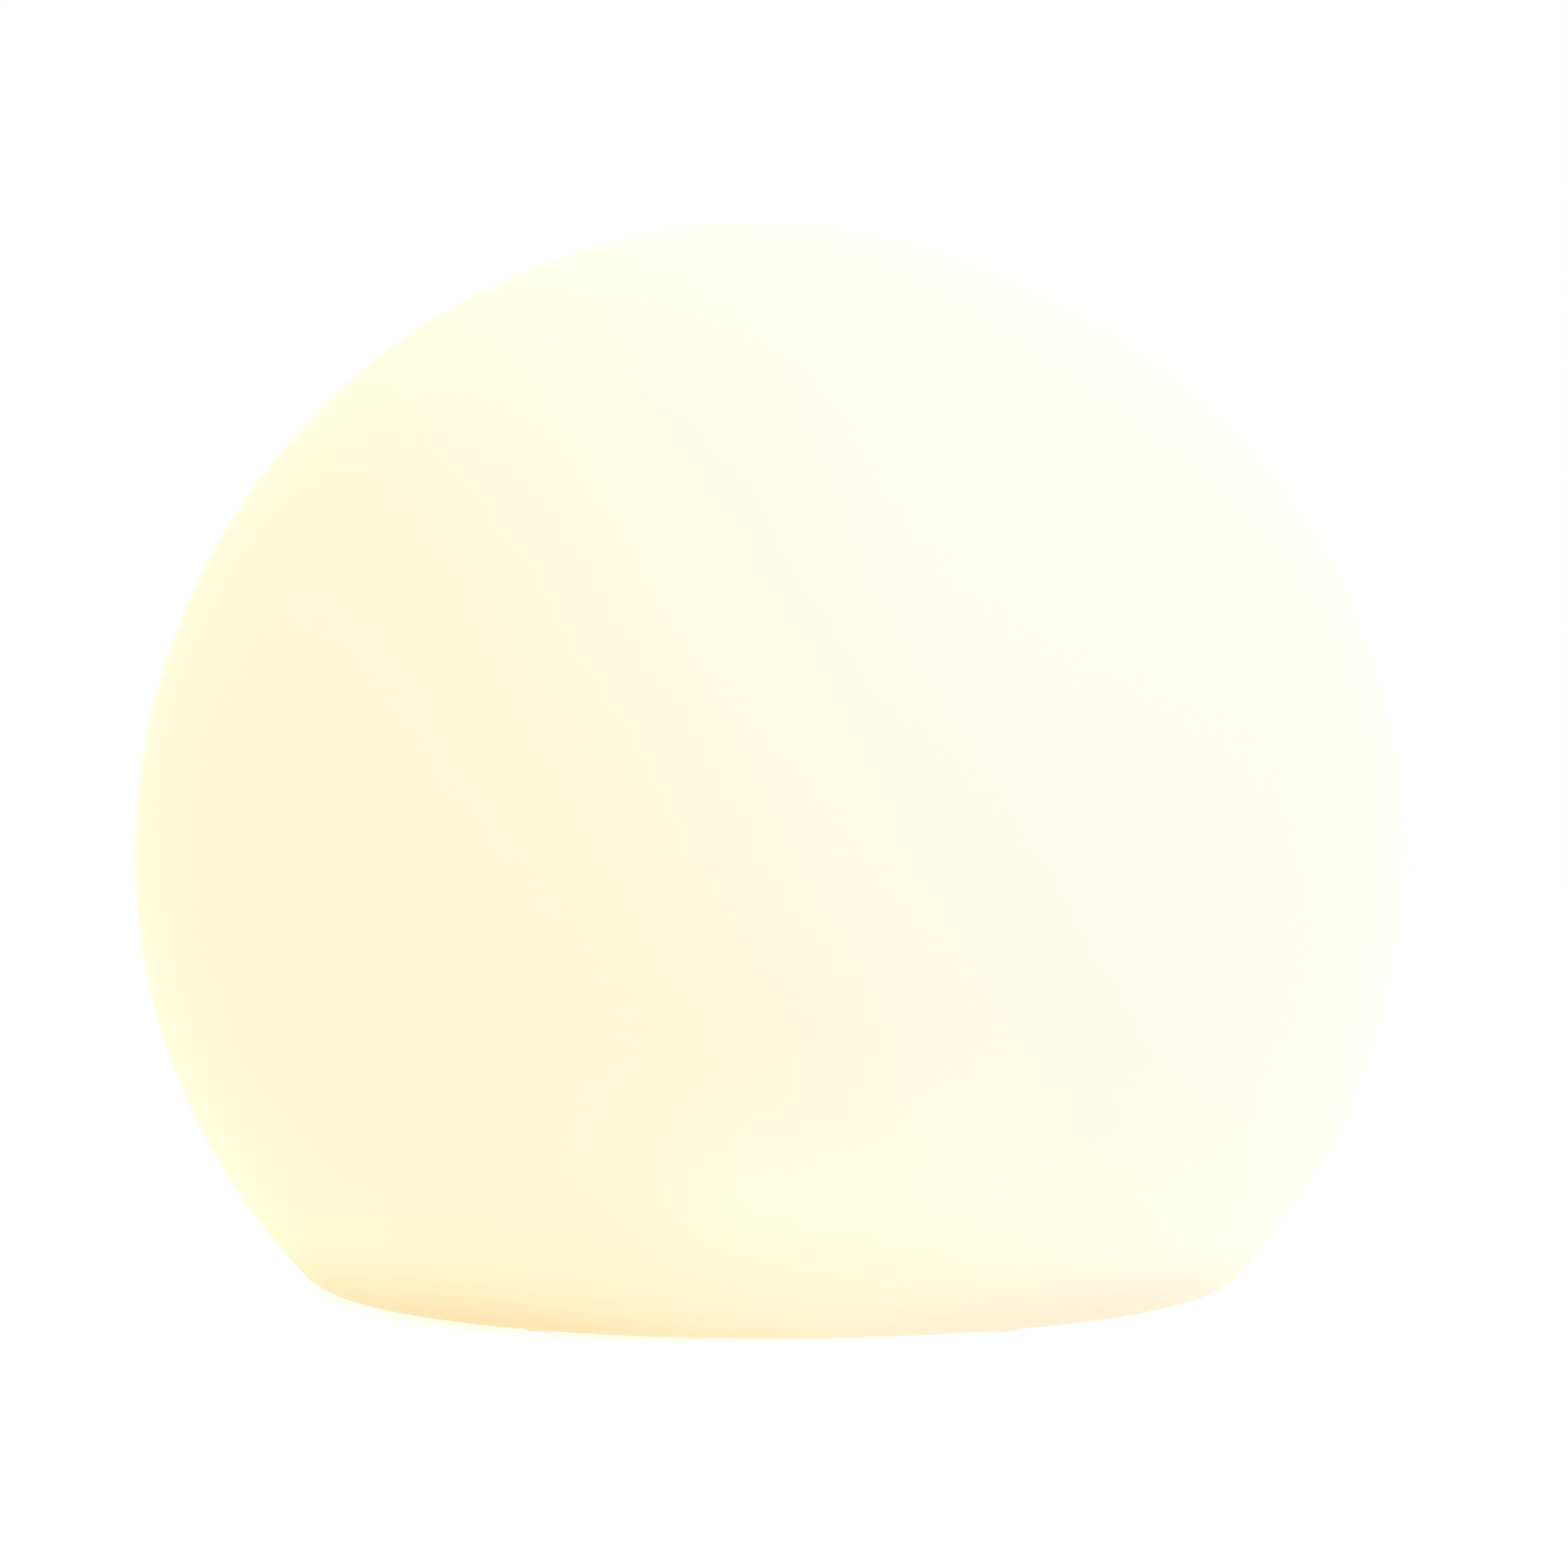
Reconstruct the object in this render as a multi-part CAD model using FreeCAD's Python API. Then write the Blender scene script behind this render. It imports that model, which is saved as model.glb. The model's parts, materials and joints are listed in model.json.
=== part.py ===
import FreeCAD, Part
import math
import os

# Cordless garden globe light: a translucent globe on a flat base ring, and a base module
# that twists out of it. Millimetres, +Z up. The origin lies on the globe's axis, on the
# surface that the feet stand on.

# Globe shell
globeRadius = 125.0          # widest half-width
centreHeight = 83.4          # base ring to the widest circle
lowerHalfAxis = 120.6        # vertical half-axis of the flatter lower half
shellWall = 3.0
rimFillet = 8.5              # rounded edge round the base ring
recessDepth = 14.0
recessLip = 2.0              # rounding at the recess mouth
ceilingWidth = 10.0          # ceiling of the recess, from its wall in to the opening

# Feet
footCount = 6
footStart = 0.0              # none stands at the front, where it would show
footRadius = 5.0
footThickness = 2.2
footProtrusion = 1.0
footInset = 9.5              # from the recess wall out to the middle of a foot
footChamfer = 0.4

# Neck: ring, gasket and clamp in the opening
neckGasketThickness = 1.0
neckRingThickness = 3.5
neckFlangeInset = 1.0        # edge of the flange, inside the recess wall
neckSkirtWall = 3.2          # round the bore that the O-ring runs in
lipWidth = 3.3               # narrower lip that the lugs rest on
neckFit = 0.3                # neck skirt in the opening
clampThickness = 3.0
clampSkirtFit = 0.2
clampWallFit = 0.5
neckScrewCount = 6
neckScrewInset = 4.5         # from the opening out to the middle of a screw
neckBossRadius = 3.6
neckBossHeight = 6.5
neckScrewRadius = 1.75
shellHoleGap = 0.3           # screw holes of the moulded shell
neckScrewHeadRadius = 3.4
neckScrewHeadHeight = 1.9
neckScrewLength = 14.0

# Bayonet
lugCount = 3
lugHalfAngle = 12.0
lugThickness = 3.2
lugGap = 0.2
lugTipClearance = 0.5
unlockAngle = 40.0
notchMargin = 2.5
stopGapAngle = 1.0
stopWidthAngle = 6.0
stopHeight = 4.0
stopReach = 3.6
stopClearance = 0.3

# Base housing
plateGap = 0.3               # housing plate under the clamp ring
plateThickness = 3.0
plateRadialGap = 1.0         # plate in the recess
plateChamfer = 0.8
shoulderClearance = 0.4
shoulderGap = 0.4            # shoulder under the neck lip
lipClearance = 0.6
housingWall = 2.6
oringWidth = 2.9
oringDepth = 2.9
oringClearance = 0.1
oringSideGap = 0.15
oringRounding = 1.0
oringHeight = 3.5            # middle of the groove above the plate
gripInset = 8.0              # from the plate's edge in to the grips
gripThickness = 5.5
gripHalfAngle = 20.0
gripHeight = 5.4
gripSeat = 1.0               # the grips are moulded into grooves of the plate
gripEndRounding = 2.5
gripRounding = 1.2

# Lid of the housing (light tray) and the lights
trayGasketThickness = 1.0
trayGasketInset = 0.2
trayThickness = 2.6
trayScrewCount = 6
trayScrewStart = 30.0
trayBossRadius = 3.6
trayBossBite = 0.4
trayScrewRadius = 1.5
trayScrewHeadRadius = 3.0
trayScrewHeadHeight = 1.7
trayScrewLength = 11.0
spreaderMargin = 2.0         # spreader round the LED board
spreaderThickness = 1.5
ledBoardRadius = 38.0
ledBoardThickness = 1.6
ledCounts = (6, 12, 18)
ledCircles = (12.0, 24.0, 33.5)
ledSide = 5.0
ledHeight = 1.5
ledWellDepth = 0.45
ledWellMargin = 0.5
boardScrewCount = 3
boardScrewStart = 30.0
boardScrewGap = 0.3          # from a screw head to the middle circle of lights
boardScrewRadius = 1.5
boardScrewHeadRadius = 2.7
boardScrewHeadHeight = 1.7
boardScrewReach = 5.5        # into the tray's bosses
boardBossRadius = 3.4
boardBossHeight = 5.0
reflectorFit = 0.4
reflectorWall = 1.2
reflectorHeight = 8.0
domeWall = 1.6
domeRise = 15.0
domeRimHeight = 1.5
domeRimInset = 1.0
domeStep = 0.2               # the rim's bore, above the rim

# Battery
cellRadius = 9.2
cellLength = 65.0
cellGap = 1.4
cellCapRadius = 4.0
cellCapHeight = 0.8
cellSeatGap = 0.15
cellFit = 0.02               # in the cradle's ribs
tabThickness = 0.3
tabHalfHeight = 4.0
tabNeckHalfWidth = 2.5
tabRise = 2.4                # over the cells
cradleRoom = 0.8             # over the plugs on the control board
cradleThickness = 2.0
cradleWall = 2.2
cradleEndGap = 1.0
cradleSideMargin = 1.9
cradleEndRise = 11.0
cradleRibOffset = 22.0
cradleRibThickness = 3.0
cradleRibRise = 7.0
cradleEarOffset = 3.0        # from the cradle's end out to its screws
cradleEarY = 8.0
cavityMargin = 11.0          # from the cradle's screws out to the cup's wall
cradlePostRadius = 3.4
cradleScrewRadius = 1.5
cradleScrewHeadRadius = 2.7
cradleScrewHeadHeight = 1.8
cradleScrewLength = 9.0
strapThickness = 0.8
strapHalfWidth = 6.0
strapGap = 0.1

# Control board
boardThickness = 1.6
controlHalfWidth = 28.0
controlNear = 3.0
controlFar = 33.0
controlScrewX = 21.5
controlScrewInset = 3.5
standoffRadius = 3.0
controlScrewRadius = 1.25
controlScrewHeadRadius = 2.4
controlScrewHeadHeight = 1.5
controlScrewLength = 8.0
plugLength = 7.0
plugWidth = 6.0
plugHeight = 4.6
# middle, half sizes and height of each part on the board
chipSizes = [
    (-4.0, 20.0, 3.5, 3.5, 1.2),
    (6.0, 13.0, 2.5, 2.0, 1.4),
    (-14.0, 12.0, 4.0, 4.0, 3.6),
    (8.0, 20.0, 1.6, 0.8, 0.8),
    (8.0, 23.0, 1.6, 0.8, 0.8),
    (-5.0, 28.0, 1.6, 0.8, 0.8),
]
capacitorX = -14.0
capacitorY = 24.0
capacitorRadius = 3.2
capacitorHeight = 4.4

# Push button
buttonY = 18.0
buttonRadius = 8.0
buttonBoreClearance = 0.08
buttonProtrusion = 0.8
buttonRounding = 0.6
buttonDishRadius = 24.0
buttonDishDepth = 0.5
buttonCrown = 1.5
buttonWall = 1.1
buttonFlangeReach = 1.2
buttonFlangeGap = 0.2
buttonFlangeThickness = 1.1
buttonSeatHeight = 5.3       # counterbore floor above the plate's underside
buttonSeatGap = 0.1
buttonTubeWall = 1.6
buttonTravel = 1.0
buttonSpare = 0.4            # room left over the pressed button
buttonStemRadius = 2.0
buttonStemClearance = 0.1
retainerThickness = 1.5
retainerFlangeThickness = 0.8
retainerFit = 0.05
stemProud = 0.4
buttonGrooveHeight = 3.2
buttonGrooveWidth = 1.7
buttonSealDepth = 1.1
buttonSealClearance = 0.05
buttonSealSideGap = 0.1
buttonSealBoreGap = 0.03
springCoilRadius = 3.9
springWire = 0.6
springTurns = 5
springSeatGap = 0.05
plungerRadius = 1.75
plungerClearance = 0.08
plungerRoom = 0.4            # left over the pressed plunger
switchGap = 0.2              # from the pressed stem to the switch
switchHalfWidth = 3.1
switchHeight = 3.5
switchRoof = 0.6

# Charging port
portY = -24.0
padHalfWidth = 12.5
padHalfLength = 13.0
padHeight = 2.8
pocketHalfWidth = 9.6
pocketFar = 9.0              # from the port's middle to the pocket's far end
coverCeilingGap = 0.2
coverGap = 0.3
coverThickness = 2.0
coverProud = 0.1             # underside of the cover inside the plate's face
coverCorner = 3.0
portHingeOffset = 9.2        # from the port's middle to the hinge
knuckleRadius = 1.5
knuckleHalfLength = 5.0
knuckleSideGap = 0.2
earLength = 3.3
hingeRoom = 2.2
pinRadius = 0.75
pinClearance = 0.05
sealHalfWidth = 6.8
sealHalfLength = 4.0
sealThickness = 1.2
sealGap = 0.4
sealCeilingGap = 0.2
sealCorner = 1.5
bridgeBite = 0.5             # knuckle's bridge into the cover
bridgeStep = 0.1
scoopRadius = 4.0
scoopDepth = 1.2
socketHalfWidth = 4.5
socketHalfLength = 1.7
socketHeight = 4.4
socketWall = 0.35
socketTongueHalfWidth = 3.3
socketTongueHalf = 0.35
socketTongueInset = 0.6
socketEndFlat = 0.1          # left flat between the rounded ends
socketBackWall = 1.0
socketHoleGap = 0.2
chargeBoardHalfWidth = 12.5
chargeBoardHalfLength = 11.5
chargeStandoff = 2.5
chargeScrewX = 10.2
chargeScrewY = 8.6
chargeStandoffRadius = 2.2
chargeScrewRadius = 1.0
chargeScrewHeadRadius = 1.9
chargeScrewHeadHeight = 1.2
chargeScrewLength = 5.5
socketGasketHalfWidth = 6.6
socketGasketHalfLength = 4.2

# Indicator and vent
pipeX = 16.0
pipeY = 12.0
pipeRadius = 1.5
pipeFlangeRadius = 2.6
pipeFlangeThickness = 1.0
pipeGap = 0.3
indicatorHalfLength = 1.6
indicatorHalfWidth = 1.0
indicatorHeight = 1.1
ventX = -19.0
ventY = 22.0
ventHeadRadius = 5.0
ventHeadHeight = 0.8
ventStemRadius = 3.9
ventBarbRadius = 4.5
ventBarbHeight = 1.5
ventBore = 1.0

# Hanging loop
bailWire = 3.2
bailLoopRadius = 36.0
bailCorner = 4.0
bailEndLength = 6.0
bailDrop = 2.2               # loop's axis under the plate
clipThickness = 1.0
clipBore = 0.08
clipLength = 5.0
clipEndGap = 0.5             # from the loop's corner bend to a clip
clipHalfSpan = 9.6
bailScrewY = 6.6
bailScrewRadius = 1.5
bailScrewHeadRadius = 2.7
bailScrewHeadHeight = 1.6
bailScrewLength = 8.0
bailBossRadius = 3.2
bailBossHeight = 5.5

# Internal leads
leadRadius = 1.2
leadArch = 5.5               # top of the battery lead over its tab
leadRoom = 0.35              # from that lead to the tray
leadHoleGap = 0.3
ledLeadX = -5.0              # where the lead passes through the tray
ledLeadY = 30.0
ledPlugX = 3.0
batteryPlugX = 12.0
plugRowY = 28.5
chargePlugX = -4.0
chargePlugY = -19.0
grommetRadius = 2.9
grommetFlange = 3.9
grommetFlangeThickness = 0.9

screwHoleGap = 0.1
screwSlotWidth = 0.7
screwSlotShare = 0.6         # cross recess against the head's radius
screwSlotDepthShare = 0.7    # and against its height
screwRoundingShare = 0.45    # rounding of a pan head against its height

# Heights that follow from the sizes above
shellBase = footProtrusion
flangeBottom = shellBase + recessDepth
flangeTop = flangeBottom + shellWall
neckBase = flangeTop + neckGasketThickness
lipTop = neckBase + neckRingThickness
clampBottom = flangeBottom - clampThickness
plateTop = clampBottom - plateGap
plateBottom = plateTop - plateThickness
buttonSeat = plateBottom + buttonSeatHeight
buttonFlangeTop = buttonSeat + buttonSeatGap + buttonFlangeThickness
retainerBottom = buttonFlangeTop + buttonTravel + buttonSpare
buttonTubeTop = retainerBottom + retainerThickness
stemTop = buttonTubeTop + retainerFlangeThickness + stemProud
switchBottom = stemTop + buttonTravel + switchGap
controlBottom = switchBottom + switchHeight
controlTop = controlBottom + boardThickness
cradleBottom = controlTop + plugHeight + cradleRoom
cradleTop = cradleBottom + cradleThickness
cellAxis = cradleTop + cellSeatGap + cellRadius
tabTop = cellAxis + cellRadius + tabRise
trayBottom = tabTop + leadArch + leadRadius + leadRoom
rimTop = trayBottom - trayGasketThickness
trayTop = trayBottom + trayThickness
spreaderTop = trayTop + spreaderThickness
ledBoardTop = spreaderTop + ledBoardThickness
padTop = plateTop + padHeight
chargeBottom = padTop + chargeStandoff
chargeTop = chargeBottom + boardThickness
bailAxis = plateBottom - bailDrop
hingeHeight = plateBottom + knuckleRadius
hingeY = portY + portHingeOffset

# Widths that follow, from the battery outwards
cellSpacing = 2 * cellRadius + cellGap
cradleHalfWidth = cellSpacing / 2 + cellRadius + cradleSideMargin
cradleEnd = cellLength / 2 + tabThickness + cradleEndGap
cradleEarX = cradleEnd + cradleWall + cradleEarOffset
cavityRadius = cradleEarX + cavityMargin
housingRadius = cavityRadius + housingWall
lipBore = housingRadius + lipClearance
neckBore = lipBore + lipWidth
shoulderRadius = neckBore - shoulderClearance
openingRadius = neckBore + neckSkirtWall + neckFit
neckScrewCircle = openingRadius + neckScrewInset
recessRadius = openingRadius + ceilingWidth
neckFlangeRadius = recessRadius - neckFlangeInset
footCircle = recessRadius + footInset
plateRadius = recessRadius - plateRadialGap
gripOuter = plateRadius - gripInset
gripInner = gripOuter - gripThickness
trayScrewCircle = cavityRadius + trayBossBite - trayBossRadius
spreaderRadius = ledBoardRadius + spreaderMargin
boardScrewCircle = ledCircles[1] - ledSide / 2 - boardScrewHeadRadius - boardScrewGap
tracks = [index * 360.0 / lugCount for index in range(lugCount)]

up = FreeCAD.Vector(0, 0, 1)
right = FreeCAD.Vector(1, 0, 0)


def point(x, y, z):
    return FreeCAD.Vector(x, y, z)


def drum(radius, low, high, x=0.0, y=0.0):
    return Part.makeCylinder(radius, high - low, point(x, y, low), up)


def tubeRing(inner, outer, low, high, x=0.0, y=0.0):
    return drum(outer, low, high, x, y).cut(drum(inner, low, high, x, y))


def block(x0, x1, y0, y1, z0, z1):
    return Part.makeBox(x1 - x0, y1 - y0, z1 - z0, point(x0, y0, z0))


def barX(radius, x0, x1, y, z):
    return Part.makeCylinder(radius, x1 - x0, point(x0, y, z), right)


def turned(outline):
    """Solid of revolution about Z from a closed outline of (radius, height) points."""
    corners = [point(radius, 0, height) for radius, height in outline]
    face = Part.Face(Part.makePolygon(corners + [corners[0]]))
    return face.revolve(point(0, 0, 0), up, 360)


def sector(inner, outer, low, high, fromAngle, toAngle):
    """Upright piece of a ring between two angles of less than half a turn."""
    middle = (fromAngle + toAngle) / 2
    near = [point(*polar(inner, angle), low) for angle in (toAngle, middle, fromAngle)]
    far = [point(*polar(outer, angle), low) for angle in (fromAngle, middle, toAngle)]
    edges = [
        Part.Arc(*far).toShape(),
        Part.LineSegment(far[2], near[0]).toShape(),
        Part.Arc(*near).toShape(),
        Part.LineSegment(near[2], far[0]).toShape(),
    ]
    return Part.Face(Part.Wire(edges)).extrude(point(0, 0, high - low))


def rotated(shape, angle):
    copy = shape.copy()
    copy.rotate(point(0, 0, 0), up, angle)
    return copy


def around(shape, count, start=0.0):
    return [rotated(shape, start + index * 360.0 / count) for index in range(count)]


def joined(shapes):
    return shapes[0].multiFuse(shapes[1:]).removeSplitter()


def without(shape, tools):
    return shape.cut(Part.makeCompound(tools))


def polar(radius, angle):
    return radius * math.cos(math.radians(angle)), radius * math.sin(math.radians(angle))


def circlePlaces(circle, count, start=0.0):
    return [polar(circle, start + index * 360.0 / count) for index in range(count)]


def corners(x, y):
    return [(-x, -y), (x, -y), (x, y), (-x, y)]


def circleEdges(shape, radius, height):
    found = []
    for edge in shape.Edges:
        if edge.Degenerated:
            continue
        curve = edge.Curve
        if isinstance(curve, Part.Circle) and abs(curve.Radius - radius) < 0.01:
            if abs(curve.Center.z - height) < 0.01 and abs(edge.BoundBox.ZLength) < 0.01:
                found.append(edge)
    return found


def crossRecess(headRadius, depth):
    reach = headRadius * screwSlotShare
    half = screwSlotWidth / 2
    bars = [block(-reach, reach, -half, half, 0, depth), block(-half, half, -reach, reach, 0, depth)]
    return joined(bars)


def countersunkScrew(headRadius, headHeight, radius, length):
    """Screw pointing up, with its flat head face at height 0."""
    head = Part.makeCone(headRadius, radius, headHeight)
    screw = joined([head, drum(radius, 0, length)])
    return screw.cut(crossRecess(headRadius, headHeight * screwSlotDepthShare))


def panScrew(headRadius, headHeight, radius, length):
    """Screw pointing up, with its seat at height 0 and its head below."""
    head = drum(headRadius, -headHeight, 0)
    head = head.makeFillet(headHeight * screwRoundingShare,
                           circleEdges(head, headRadius, -headHeight))
    recess = crossRecess(headRadius, headHeight * screwSlotDepthShare)
    recess.translate(point(0, 0, -headHeight))
    return joined([head, drum(radius, 0, length)]).cut(recess)


def placedUp(screw, places, height):
    """Copies of a screw that points up, with its height 0 at the given height."""
    copies = []
    for x, y in places:
        copy = screw.copy()
        copy.translate(point(x, y, height))
        copies.append(copy)
    return copies


def placedDown(screw, places, height):
    """Copies of a screw turned to point down, with its height 0 at the given height."""
    flipped = screw.copy()
    flipped.rotate(point(0, 0, 0), right, 180)
    return placedUp(flipped, places, height)


def leadPath(name, route):
    """Straight runs joined by tangent arcs. Prints each arc's radius."""
    edges = []
    radii = []
    start = route[0]
    for before, corner, after in zip(route, route[1:], route[2:]):
        arriving = corner - before
        leaving = after - corner
        trim = 0.45 * min(arriving.Length, leaving.Length)
        turn = arriving.getAngle(leaving)
        radius = trim / math.tan(turn / 2)
        arriving.normalize()
        leaving.normalize()
        inward = leaving - arriving
        inward.normalize()
        arcStart = corner - arriving * trim
        arcEnd = corner + leaving * trim
        middle = corner + inward * (radius / math.cos(turn / 2) - radius)
        edges.append(Part.LineSegment(start, arcStart).toShape())
        edges.append(Part.Arc(arcStart, middle, arcEnd).toShape())
        radii.append(round(radius, 1))
        start = arcEnd
    edges.append(Part.LineSegment(start, route[-1]).toShape())
    print(name, "arc radii", radii)
    return Part.Wire(edges)


def tubeAlong(path, radius):
    first = path.OrderedEdges[0]
    profile = Part.Wire([Part.Circle(first.valueAt(0), first.tangentAt(0), radius).toShape()])
    return path.makePipeShell([profile], True, False)


def lead(name, route):
    path = leadPath(name, route)
    tube = tubeAlong(path, leadRadius)
    expected = math.pi * leadRadius ** 2 * path.Length
    print(name, "volume against section times length", round(tube.Volume / expected, 4))
    return tube


# Globe body

def ellipseEdge(halfWidth, halfHeight, height, fromAngle):
    """Lower quarter of an upright ellipse, from an angle below its side up to its side."""
    centre = point(0, 0, height)
    if halfWidth >= halfHeight:
        curve = Part.Ellipse(point(halfWidth, 0, height), point(0, 0, height + halfHeight), centre)
        return Part.ArcOfEllipse(curve, fromAngle, 0).toShape()
    curve = Part.Ellipse(point(0, 0, height + halfHeight), point(-halfWidth, 0, height), centre)
    return Part.ArcOfEllipse(curve, fromAngle - math.pi / 2, -math.pi / 2).toShape()


def globeSolid(inset):
    """Globe with a flat base, moved inwards by inset all round."""
    radius = globeRadius - inset
    halfAxis = lowerHalfAxis - inset
    middle = shellBase + centreHeight
    floor = shellBase + inset
    angle = -math.asin((middle - floor) / halfAxis)
    baseRadius = radius * math.cos(angle)
    diagonal = radius * math.sqrt(0.5)
    low = point(0, 0, floor)
    corner = point(baseRadius, 0, floor)
    side = point(radius, 0, middle)
    top = point(0, 0, middle + radius)
    edges = [
        Part.LineSegment(low, corner).toShape(),
        ellipseEdge(radius, halfAxis, middle, angle),
        Part.Arc(side, point(diagonal, 0, middle + diagonal), top).toShape(),
        Part.LineSegment(top, low).toShape(),
    ]
    solid = Part.Face(Part.Wire(edges)).revolve(point(0, 0, 0), up, 360)
    rounding = max(rimFillet - inset, 1.0)
    return solid.makeFillet(rounding, circleEdges(solid, baseRadius, floor))


def globeShell():
    inside = globeSolid(shellWall)
    inside = inside.cut(drum(recessRadius + shellWall, shellBase, flangeTop))
    shell = globeSolid(0).cut(inside)
    shell = shell.cut(drum(recessRadius, shellBase - 1, flangeBottom))
    shell = shell.cut(drum(openingRadius, flangeBottom - 1, flangeTop + 1))
    shell = shell.makeFillet(recessLip, circleEdges(shell, recessRadius, shellBase))
    pockets = [drum(footRadius, shellBase - 1, footThickness, x, y) for x, y in footPlaces()]
    holes = [drum(neckScrewRadius + shellHoleGap, flangeBottom - 1, flangeTop + 1, x, y)
             for x, y in neckScrewPlaces()]
    return without(shell, pockets + holes)


def footPlaces():
    return circlePlaces(footCircle, footCount, footStart)


def feet():
    pad = drum(footRadius, 0, footThickness)
    pad = pad.makeChamfer(footChamfer, circleEdges(pad, footRadius, 0))
    return Part.makeCompound(placedUp(pad, footPlaces(), 0))


def neckScrewPlaces():
    return circlePlaces(neckScrewCircle, neckScrewCount)


def neckRing():
    skirtRadius = openingRadius - neckFit
    parts = [
        tubeRing(neckBore, skirtRadius, clampBottom, neckBase),
        tubeRing(lipBore, neckFlangeRadius, neckBase, lipTop),
    ]
    parts += [drum(neckBossRadius, lipTop, lipTop + neckBossHeight, x, y)
              for x, y in neckScrewPlaces()]
    lockFrom = lugHalfAngle + stopGapAngle
    unlockFrom = -unlockAngle - lugHalfAngle - stopGapAngle
    stopInner = lipBore + stopClearance
    stopOuter = stopInner + stopReach
    for track in tracks:
        for start in (lockFrom, unlockFrom - stopWidthAngle):
            low = track + start
            parts.append(sector(stopInner, stopOuter, lipTop, lipTop + stopHeight,
                                low, low + stopWidthAngle))
    ring = joined(parts)
    cuts = []
    for track in tracks:
        near = track - unlockAngle + lugHalfAngle + notchMargin
        cuts.append(sector(lipBore - 1, neckBore, neckBase - 1, lipTop + 1,
                           track + unlockFrom, near))
    deep = clampBottom + neckScrewLength
    cuts += [drum(neckScrewRadius, neckBase - 1, deep, x, y) for x, y in neckScrewPlaces()]
    return without(ring, cuts)


def neckGasket():
    ring = tubeRing(openingRadius, neckFlangeRadius, flangeTop, neckBase)
    return without(ring, [drum(neckScrewRadius + screwHoleGap, flangeTop - 1, neckBase + 1, x, y)
                          for x, y in neckScrewPlaces()])


def neckScrew():
    return countersunkScrew(neckScrewHeadRadius, neckScrewHeadHeight, neckScrewRadius,
                            neckScrewLength)


def clampRing():
    inner = openingRadius - neckFit + clampSkirtFit
    ring = tubeRing(inner, recessRadius - clampWallFit, clampBottom, flangeBottom)
    sinks = [Part.makeCone(neckScrewHeadRadius, neckScrewRadius, neckScrewHeadHeight,
                           point(x, y, clampBottom)) for x, y in neckScrewPlaces()]
    holes = [drum(neckScrewRadius + screwHoleGap, clampBottom, flangeBottom, x, y)
             for x, y in neckScrewPlaces()]
    return without(ring, sinks + holes)


def neckScrews():
    return Part.makeCompound(placedUp(neckScrew(), neckScrewPlaces(), clampBottom))


# Base housing

def grooveLimits():
    middle = plateTop + oringHeight
    half = oringWidth / 2 + oringSideGap
    return middle - half, middle + half


def grooveFloor():
    return neckBore - oringClearance - oringDepth


def trayScrewPlaces():
    return circlePlaces(trayScrewCircle, trayScrewCount, trayScrewStart)


def cradleScrewPlaces():
    return corners(cradleEarX, cradleEarY)


def controlScrewPlaces():
    near = controlNear + controlScrewInset
    far = controlFar - controlScrewInset
    return [(-controlScrewX, near), (controlScrewX, near),
            (controlScrewX, far), (-controlScrewX, far)]


def chargeScrewPlaces():
    return [(x, portY + y) for x, y in corners(chargeScrewX, chargeScrewY)]


def clipMiddle():
    return bailLoopRadius - bailCorner - clipEndGap - clipLength / 2


def bailScrewPlaces():
    return corners(clipMiddle(), bailScrewY)


def housingBody():
    low, high = grooveLimits()
    shoulderTop = neckBase - shoulderGap
    outline = [
        (0, plateBottom), (plateRadius, plateBottom), (plateRadius, plateTop),
        (shoulderRadius, plateTop), (shoulderRadius, low), (grooveFloor(), low),
        (grooveFloor(), high), (shoulderRadius, high), (shoulderRadius, shoulderTop),
        (housingRadius, shoulderTop), (housingRadius, rimTop), (cavityRadius, rimTop),
        (cavityRadius, plateTop), (0, plateTop),
    ]
    body = turned(outline)
    return body.makeChamfer(plateChamfer, circleEdges(body, plateRadius, plateBottom))


def gripBars():
    low = plateBottom - gripHeight
    top = plateBottom + gripSeat
    bar = sector(gripInner, gripOuter, low, top, -gripHalfAngle, gripHalfAngle)
    upright = [edge for edge in bar.Edges if edge.BoundBox.ZLength > gripHeight]
    bar = bar.makeFillet(gripEndRounding, upright)
    soft = [edge for edge in bar.Edges if edge.BoundBox.ZMax < low + 0.01]
    return around(bar.makeFillet(gripRounding, soft), 2)


def twistGrips():
    return Part.makeCompound(gripBars())


def lugs():
    low = lipTop + lugGap
    lug = sector(housingRadius - 1, neckBore - lugTipClearance, low, low + lugThickness,
                 -lugHalfAngle, lugHalfAngle)
    return around(lug, lugCount)


def columns():
    """Bosses, posts and standoffs on the floor of the housing."""
    stands = [drum(trayBossRadius, plateTop, rimTop, x, y) for x, y in trayScrewPlaces()]
    stands += [drum(cradlePostRadius, plateTop, cradleBottom, x, y)
               for x, y in cradleScrewPlaces()]
    stands += [drum(standoffRadius, plateTop, controlBottom, x, y)
               for x, y in controlScrewPlaces()]
    stands += [drum(chargeStandoffRadius, padTop, chargeBottom, x, y)
               for x, y in chargeScrewPlaces()]
    stands += [drum(bailBossRadius, plateTop, plateTop + bailBossHeight, x, y)
               for x, y in bailScrewPlaces()]
    return stands


def buttonBoreRadius():
    return buttonRadius + buttonBoreClearance


def flangeBoreRadius():
    return buttonRadius + buttonFlangeReach + buttonFlangeGap


def portEars():
    """Hinge ears beside the cover's knuckle, up to the pad above the pocket."""
    ears = []
    roof = padTop - 1
    for side in (-1, 1):
        x0 = side * (knuckleHalfLength + knuckleSideGap)
        x1 = x0 + side * earLength
        low, high = min(x0, x1), max(x0, x1)
        ears.append(barX(knuckleRadius, low, high, hingeY, hingeHeight))
        ears.append(block(low, high, hingeY - knuckleRadius, hingeY + knuckleRadius,
                          hingeHeight, roof))
    return ears


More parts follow.
